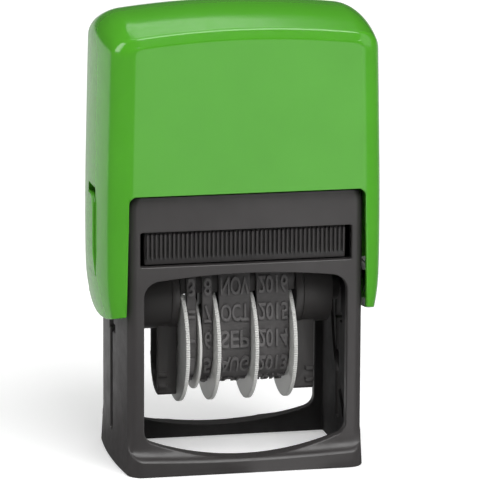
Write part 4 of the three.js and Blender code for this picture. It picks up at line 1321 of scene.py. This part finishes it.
class BandPath:
    """The loop of a band round its wheel and over the bridge."""

    def __init__(self, sizes):
        self.sizes = sizes
        self.turn_height = BRIDGE_HIGH.z + PART_GAP - sizes.bridge_turn
        self.flat = sizes.bridge_flat
        wheel = sizes.band_bore + sizes.band_thickness
        turn = sizes.bridge_turn + sizes.band_thickness
        rise = self.turn_height - AXLE_HEIGHT
        span = math.hypot(self.flat, rise)
        self.lean = math.atan2(rise, self.flat) - math.acos((wheel - turn) / span)
        self.bend = self.flat + turn * (QUARTER - self.lean)
        self.straight = self.bend + math.sqrt(span ** 2 - (wheel - turn) ** 2)
        self.length = 2 * (self.straight + wheel * (self.lean + QUARTER))
        self.wheel_radius = wheel
        self.turn_radius = turn

    def at(self, distance, offset):
        """Depth and height at a distance from the bridge's middle; the front is positive."""
        distance = (distance + self.length / 2) % self.length - self.length / 2
        side = -1 if distance > 0 else 1
        along = abs(distance)
        grow = offset - self.sizes.band_thickness
        turn, wheel = self.turn_radius + grow, self.wheel_radius + grow
        if along < self.flat:
            return side * along, self.turn_height + turn
        if along < self.bend:
            angle = QUARTER - (along - self.flat) / self.turn_radius
            return self._on(side, self.flat, self.turn_height, turn, angle)
        if along < self.straight:
            share = (along - self.bend) / (self.straight - self.bend)
            first = Vector(self._on(side, self.flat, self.turn_height, turn, self.lean))
            last = Vector(self._on(side, 0, AXLE_HEIGHT, wheel, self.lean))
            return tuple(first.lerp(last, share))
        angle = self.lean - (along - self.straight) / self.wheel_radius
        return self._on(side, 0, AXLE_HEIGHT, wheel, angle)

    @staticmethod
    def _on(side, y, z, radius, angle):
        y, z = on_circle(y, z, radius, angle)
        return side * y, z


MONTHS = ("JAN", "FEB", "MAR", "APR", "MAY", "JUN", "JUL", "AUG", "SEP", "OCT", "NOV", "DEC")
YEAR = 2018
BAND_GROOVE_HALF = 0.22 * MM
BAND_GROOVE_DEPTH = 0.06 * MM
BAND_SIDE_ROUND = 0.12 * MM
BAND_PAD_STEPS = 8
CAPITAL_SHARE = 0.7
TEXT_DEPTH = 0.2 * MM
TEXT_SIDE_MARGIN = 0.3 * MM
TEXT_CUTS = 6
TEXT_SPACING = 0.96
TEXT_BOLD = 0.09 * MM
TEXT_STRETCH = 1.04
TEXT_CURVE_STEPS = 3


def band_words(name):
    """The rows of a band, from the one that would print now towards the front."""
    if name == "month":
        return [MONTHS[-i % 12] for i in range(12)] + ["-", "-"]
    if name == "year":
        return [str(YEAR - i) for i in range(12)] + ["-", "-"]
    if name == "day_units":
        return [str(-i % 10) for i in range(10)] + ["-", "0", "9", "-"]
    return ["1", "2", "3", "=", "-"] * 2 + ["1", "2", "3", "-"]


class STAMP_OT_bands(bpy.types.Operator):
    """Models the rubber bands with their raised rows of mirrored type"""
    bl_idname = "date_stamp.make_bands"
    bl_label = "Date bands"

    def execute(self, context):
        sizes = context.scene.date_stamp.wheels
        path = BandPath(sizes)
        pitch = path.length / sizes.rows
        for name in WHEEL_BODIES:
            low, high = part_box(f"{name}_band")
            pieces = [self.loop(path, pitch, low.x, high.x)]
            for row, word in enumerate(band_words(name)):
                # The row opposite the bridge is left bare
                if row != sizes.rows // 2:
                    turns = row if row < sizes.rows / 2 else row - sizes.rows
                    middle = turns * pitch * TEXT_STRETCH
                    pieces.append(self.word(path, middle, word, low.x, high.x))
            band = smooth(unite(*pieces))
            settle(band, f"{name}_type_band", "carriage", "band_rubber", f"{name}_band")
        return {'FINISHED'}

    def loop(self, path, pitch, left, right):
        top = path.sizes.band_thickness
        half = pitch / 2 - BAND_GROOVE_HALF
        stations = []
        for row in range(path.sizes.rows):
            middle = row * pitch
            stations.append((middle - pitch / 2, top - BAND_GROOVE_DEPTH))
            pad = spread(middle - half, middle + half, BAND_PAD_STEPS)
            stations += [(distance, top) for distance in pad]
        rows = []
        r = BAND_SIDE_ROUND
        for distance, offset in stations:
            section = (
                (left, 0), (left, offset - r), (left + r, offset), (right - r, offset),
                (right, offset - r), (right, 0), (left, 0),
            )
            rows.append([(x, *path.at(distance, depth)) for x, depth in section])
        loop = merge(skin(rows + rows[:1]))
        loop.data.materials.append(material("band_rubber"))
        return loop

    def word(self, path, middle, text, left, right):
        sizes = path.sizes
        bpy.ops.object.select_all(action='DESELECT')
        bpy.ops.object.text_add()
        label = bpy.context.object
        label.data.body = text
        label.data.size = sizes.type_height / CAPITAL_SHARE
        label.data.space_character = TEXT_SPACING
        label.data.resolution_u = TEXT_CURVE_STEPS
        label.data.offset = TEXT_BOLD
        label.data.extrude = (sizes.type_rise + TEXT_DEPTH) / 2
        pick(label)
        bpy.ops.object.convert(target='MESH')
        label = bpy.context.object
        spans = [[vertex.co[axis] for vertex in label.data.vertices] for axis in range(3)]
        low, high = (Vector([edge(span) for span in spans]) for edge in (min, max))
        with editing(label):
            bpy.ops.mesh.remove_doubles(threshold=MERGE)
            for y in spread(low.y, high.y, TEXT_CUTS)[1:-1]:
                bpy.ops.mesh.select_all(action='SELECT')
                bpy.ops.mesh.bisect(plane_co=(0, y, 0), plane_no=(0, 1, 0))
        x_scale = (right - left - 2 * TEXT_SIDE_MARGIN) / (high.x - low.x)
        y_scale = 1 if text in "-=" else sizes.type_height / (high.y - low.y)
        for vertex in label.data.vertices:
            x = left + TEXT_SIDE_MARGIN + (vertex.co.x - low.x) * x_scale
            up = (vertex.co.y - (high.y + low.y) / 2) * y_scale
            depth = sizes.band_thickness + sizes.type_rise - (high.z - vertex.co.z)
            vertex.co = (x, *path.at(middle + up, depth))
        # The lighter rubber paints a highlight on the raised type
        label.data.materials.append(material("type_rubber_painted_highlight"))
        return merge(label)


# Return spring

SPRING_STEPS = 24
SPRING_ANGLE = math.radians(50)
WIRE_SIDES = 10
END_SHARE = 0.55


class STAMP_OT_spring(bpy.types.Operator):
    """Models the return spring, closer wound at its ends"""
    bl_idname = "date_stamp.make_spring"
    bl_label = "Return spring"

    def execute(self, context):
        sizes = context.scene.date_stamp.spring
        whole = SPRING_HIGH.z - SPRING_LOW.z
        rise = whole - 2 * sizes.wire
        steps = SPRING_STEPS * sizes.curls
        bpy.ops.object.select_all(action='DESELECT')
        bpy.ops.mesh.primitive_circle_add(
            vertices=WIRE_SIDES, radius=sizes.wire, rotation=(QUARTER, 0, 0),
        )
        spring = bpy.context.object
        bpy.ops.object.transform_apply(location=False, rotation=True, scale=False)
        for vertex in spring.data.vertices:
            vertex.co += Vector((sizes.radius, 0, SPRING_LOW.z + sizes.wire))
        modify(
            spring, 'SCREW', axis='Z', angle=TURN * sizes.curls, screw_offset=rise,
            steps=steps, render_steps=steps,
        )
        for vertex in spring.data.vertices:
            share = (vertex.index // WIRE_SIDES) / steps
            vertex.co.z -= rise * END_SHARE * math.sin(TURN * share) / TURN
        smooth(close(spring), SPRING_ANGLE)
        settle(spring, "spring", "frame", "steel", "return_spring")
        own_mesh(spring)
        return {'FINISHED'}


# Stage

CAMERA_AZIMUTH = math.radians(12.27)
CAMERA_ELEVATION = math.radians(12.585)
CAMERA_ROLL = math.radians(0.285)
CAMERA_DISTANCE = 1025.4 * MM
CAMERA_TARGET = Vector((2.05 * MM, 0, 49.77 * MM))
CAMERA_LENS = 337.5
CAMERA_SENSOR = 36
CAMERA_REACH = 20
FLOOR_WIDTH = 12
FLOOR_GLOW = 0.33
PAPER = (0.86, 0.86, 0.86)

# Fields: azimuth from the front towards the left, elevation, inner and outer radius, strength
FLOOR_LEVEL = 0.1
FLOOR_FIELDS = ((-22, 0, 12, 24, 1.15), (190, 0, 28, 66, 0.45))
STUDIO_LEVEL = 0.22
STUDIO_FIELDS = ((150, 0, 35, 75, 0.35), (192, 0, 9, 24, 0.7))
# Lamps: name, place, width, height, power
LAMPS = (
    ("key", (0.5, -1.6, 2), 1.8, 1.8, 60),
    ("right", (1.9, -1.2, 0.9), 1.6, 1.6, 8),
    ("left", (-2.3, 0.3, 1.2), 1.6, 1.6, 32),
    ("top", (0, 0.1, 2.2), 1.6, 1.6, 12),
    ("behind", (0.52, 1.36, 1.63), 1.7, 0.25, 2.2),
)


def bearing(azimuth, elevation):
    """The direction at an azimuth, from the front towards the left, and an elevation."""
    flat = math.cos(elevation)
    return Vector((-math.sin(azimuth) * flat, -math.cos(azimuth) * flat, math.sin(elevation)))


def bright_fields(nodes, direction, level, fields):
    """Brightness by direction: a level with soft round fields on it."""
    total = level
    for *angles, strength in fields:
        azimuth, elevation, inner, outer = map(math.radians, angles)
        dot = nodes.node(
            'ShaderNodeVectorMath', {0: direction, 1: bearing(azimuth, elevation)}, "Value",
            operation='DOT_PRODUCT',
        )
        total = total + nodes.node('ShaderNodeMapRange', {
            "Value": dot, "From Min": math.cos(outer), "From Max": math.cos(inner),
            "To Max": strength,
        }, interpolation_type='SMOOTHSTEP')
    return total


class STAMP_OT_stage(bpy.types.Operator):
    """Sets up the floor, the lamps, the world and the camera"""
    bl_idname = "date_stamp.make_stage"
    bl_label = "Stage"

    def execute(self, context):
        self.camera(context.scene)
        self.floor()
        self.world(context.scene)
        self.lamps(context.scene)
        context.scene.view_settings.view_transform = 'Standard'
        return {'FINISHED'}

    def camera(self, scene):
        ahead = -bearing(CAMERA_AZIMUTH, CAMERA_ELEVATION)
        right = ahead.cross(Vector((0, 0, 1))).normalized()
        rolled = right * math.cos(CAMERA_ROLL) + right.cross(ahead) * math.sin(CAMERA_ROLL)
        data = bpy.data.cameras.new("camera")
        data.sensor_width = CAMERA_SENSOR
        data.lens = CAMERA_LENS
        data.clip_end = CAMERA_REACH
        camera = bpy.data.objects.new("camera", data)
        scene.collection.objects.link(camera)
        turn = Matrix((rolled, rolled.cross(ahead), -ahead)).transposed().to_4x4()
        camera.matrix_world = Matrix.Translation(CAMERA_TARGET - ahead * CAMERA_DISTANCE) @ turn
        scene.camera = camera

    def floor(self):
        """A pale floor whose reflections are brighter on one side, as between dark cards."""
        bpy.ops.object.select_all(action='DESELECT')
        bpy.ops.mesh.primitive_plane_add(size=FLOOR_WIDTH)
        floor = bpy.context.object
        floor.name = "floor"
        finish = Finish("floor_paper", PAPER, 0.7, Specular_IOR_Level=0.1)
        rays = ("Is Camera Ray", "Is Glossy Ray")
        seen, mirrored = (finish.node('ShaderNodeLightPath', {}, ray) for ray in rays)
        glow = finish.node('ShaderNodeEmission', {"Strength": FLOOR_GLOW * seen})
        paper = Value(finish, finish.shader.outputs[0])
        lit = finish.node('ShaderNodeAddShader', {0: paper, 1: glow})
        around = finish.node('ShaderNodeVectorMath', {0: finish.place}, operation='NORMALIZE')
        cards = finish.node('ShaderNodeEmission', {
            "Strength": bright_fields(finish, around, FLOOR_LEVEL, FLOOR_FIELDS),
        })
        surface = finish.node('ShaderNodeMixShader', {0: mirrored, 1: lit, 2: cards})
        finish.put(surface, finish.tree.nodes["Material Output"].inputs["Surface"])
        floor.data.materials.append(finish.material)

    def world(self, scene):
        """A dim studio with soft bright fields, and a white ground behind."""
        scene.world = bpy.data.worlds.new("studio")
        scene.world.use_nodes = True
        studio = Nodes(scene.world.node_tree)
        place = studio.node('ShaderNodeTexCoord', {}, "Generated")
        light = studio.node('ShaderNodeMath', {
            0: studio.node('ShaderNodeLightPath', {}, "Is Camera Ray"),
            1: bright_fields(studio, place, STUDIO_LEVEL, STUDIO_FIELDS),
        }, operation='MAXIMUM')
        studio.put(light, studio.tree.nodes["Background"].inputs["Strength"])

    def lamps(self, scene):
        for name, place, width, height, power in LAMPS:
            data = bpy.data.lights.new(name, 'AREA')
            data.shape = 'RECTANGLE'
            data.size, data.size_y = width, height
            data.energy = power
            lamp = bpy.data.objects.new(name, data)
            scene.collection.objects.link(lamp)
            lamp.location = place
            aim = CAMERA_TARGET - Vector(place)
            lamp.rotation_euler = aim.to_track_quat('-Z', 'Y').to_euler()


class STAMP_PT_panel(bpy.types.Panel):
    bl_label = "Date Stamp"
    bl_space_type = 'VIEW_3D'
    bl_region_type = 'UI'
    bl_category = "Date Stamp"

    def draw(self, context):
        for operator in OPERATORS:
            self.layout.operator(operator.bl_idname)


OPERATORS = (
    STAMP_OT_stage, STAMP_OT_cap, STAMP_OT_buttons, STAMP_OT_frame, STAMP_OT_cartridge,
    STAMP_OT_arms, STAMP_OT_fittings, STAMP_OT_wheels, STAMP_OT_bands, STAMP_OT_spring,
)
CLASSES = (
    CapSizes, FrameSizes, CarriageSizes, WheelSizes, SpringSizes, Colours, StampSettings,
    *OPERATORS, STAMP_PT_panel,
)


def register():
    for item in CLASSES:
        bpy.utils.register_class(item)
    bpy.types.Scene.date_stamp = PointerProperty(type=StampSettings)


def unregister():
    del bpy.types.Scene.date_stamp
    for item in reversed(CLASSES):
        bpy.utils.unregister_class(item)


def main():
    register()
    for operator in OPERATORS:
        group, name = operator.bl_idname.split(".")
        getattr(getattr(bpy.ops, group), name)()


if __name__ == "__main__":
    main()
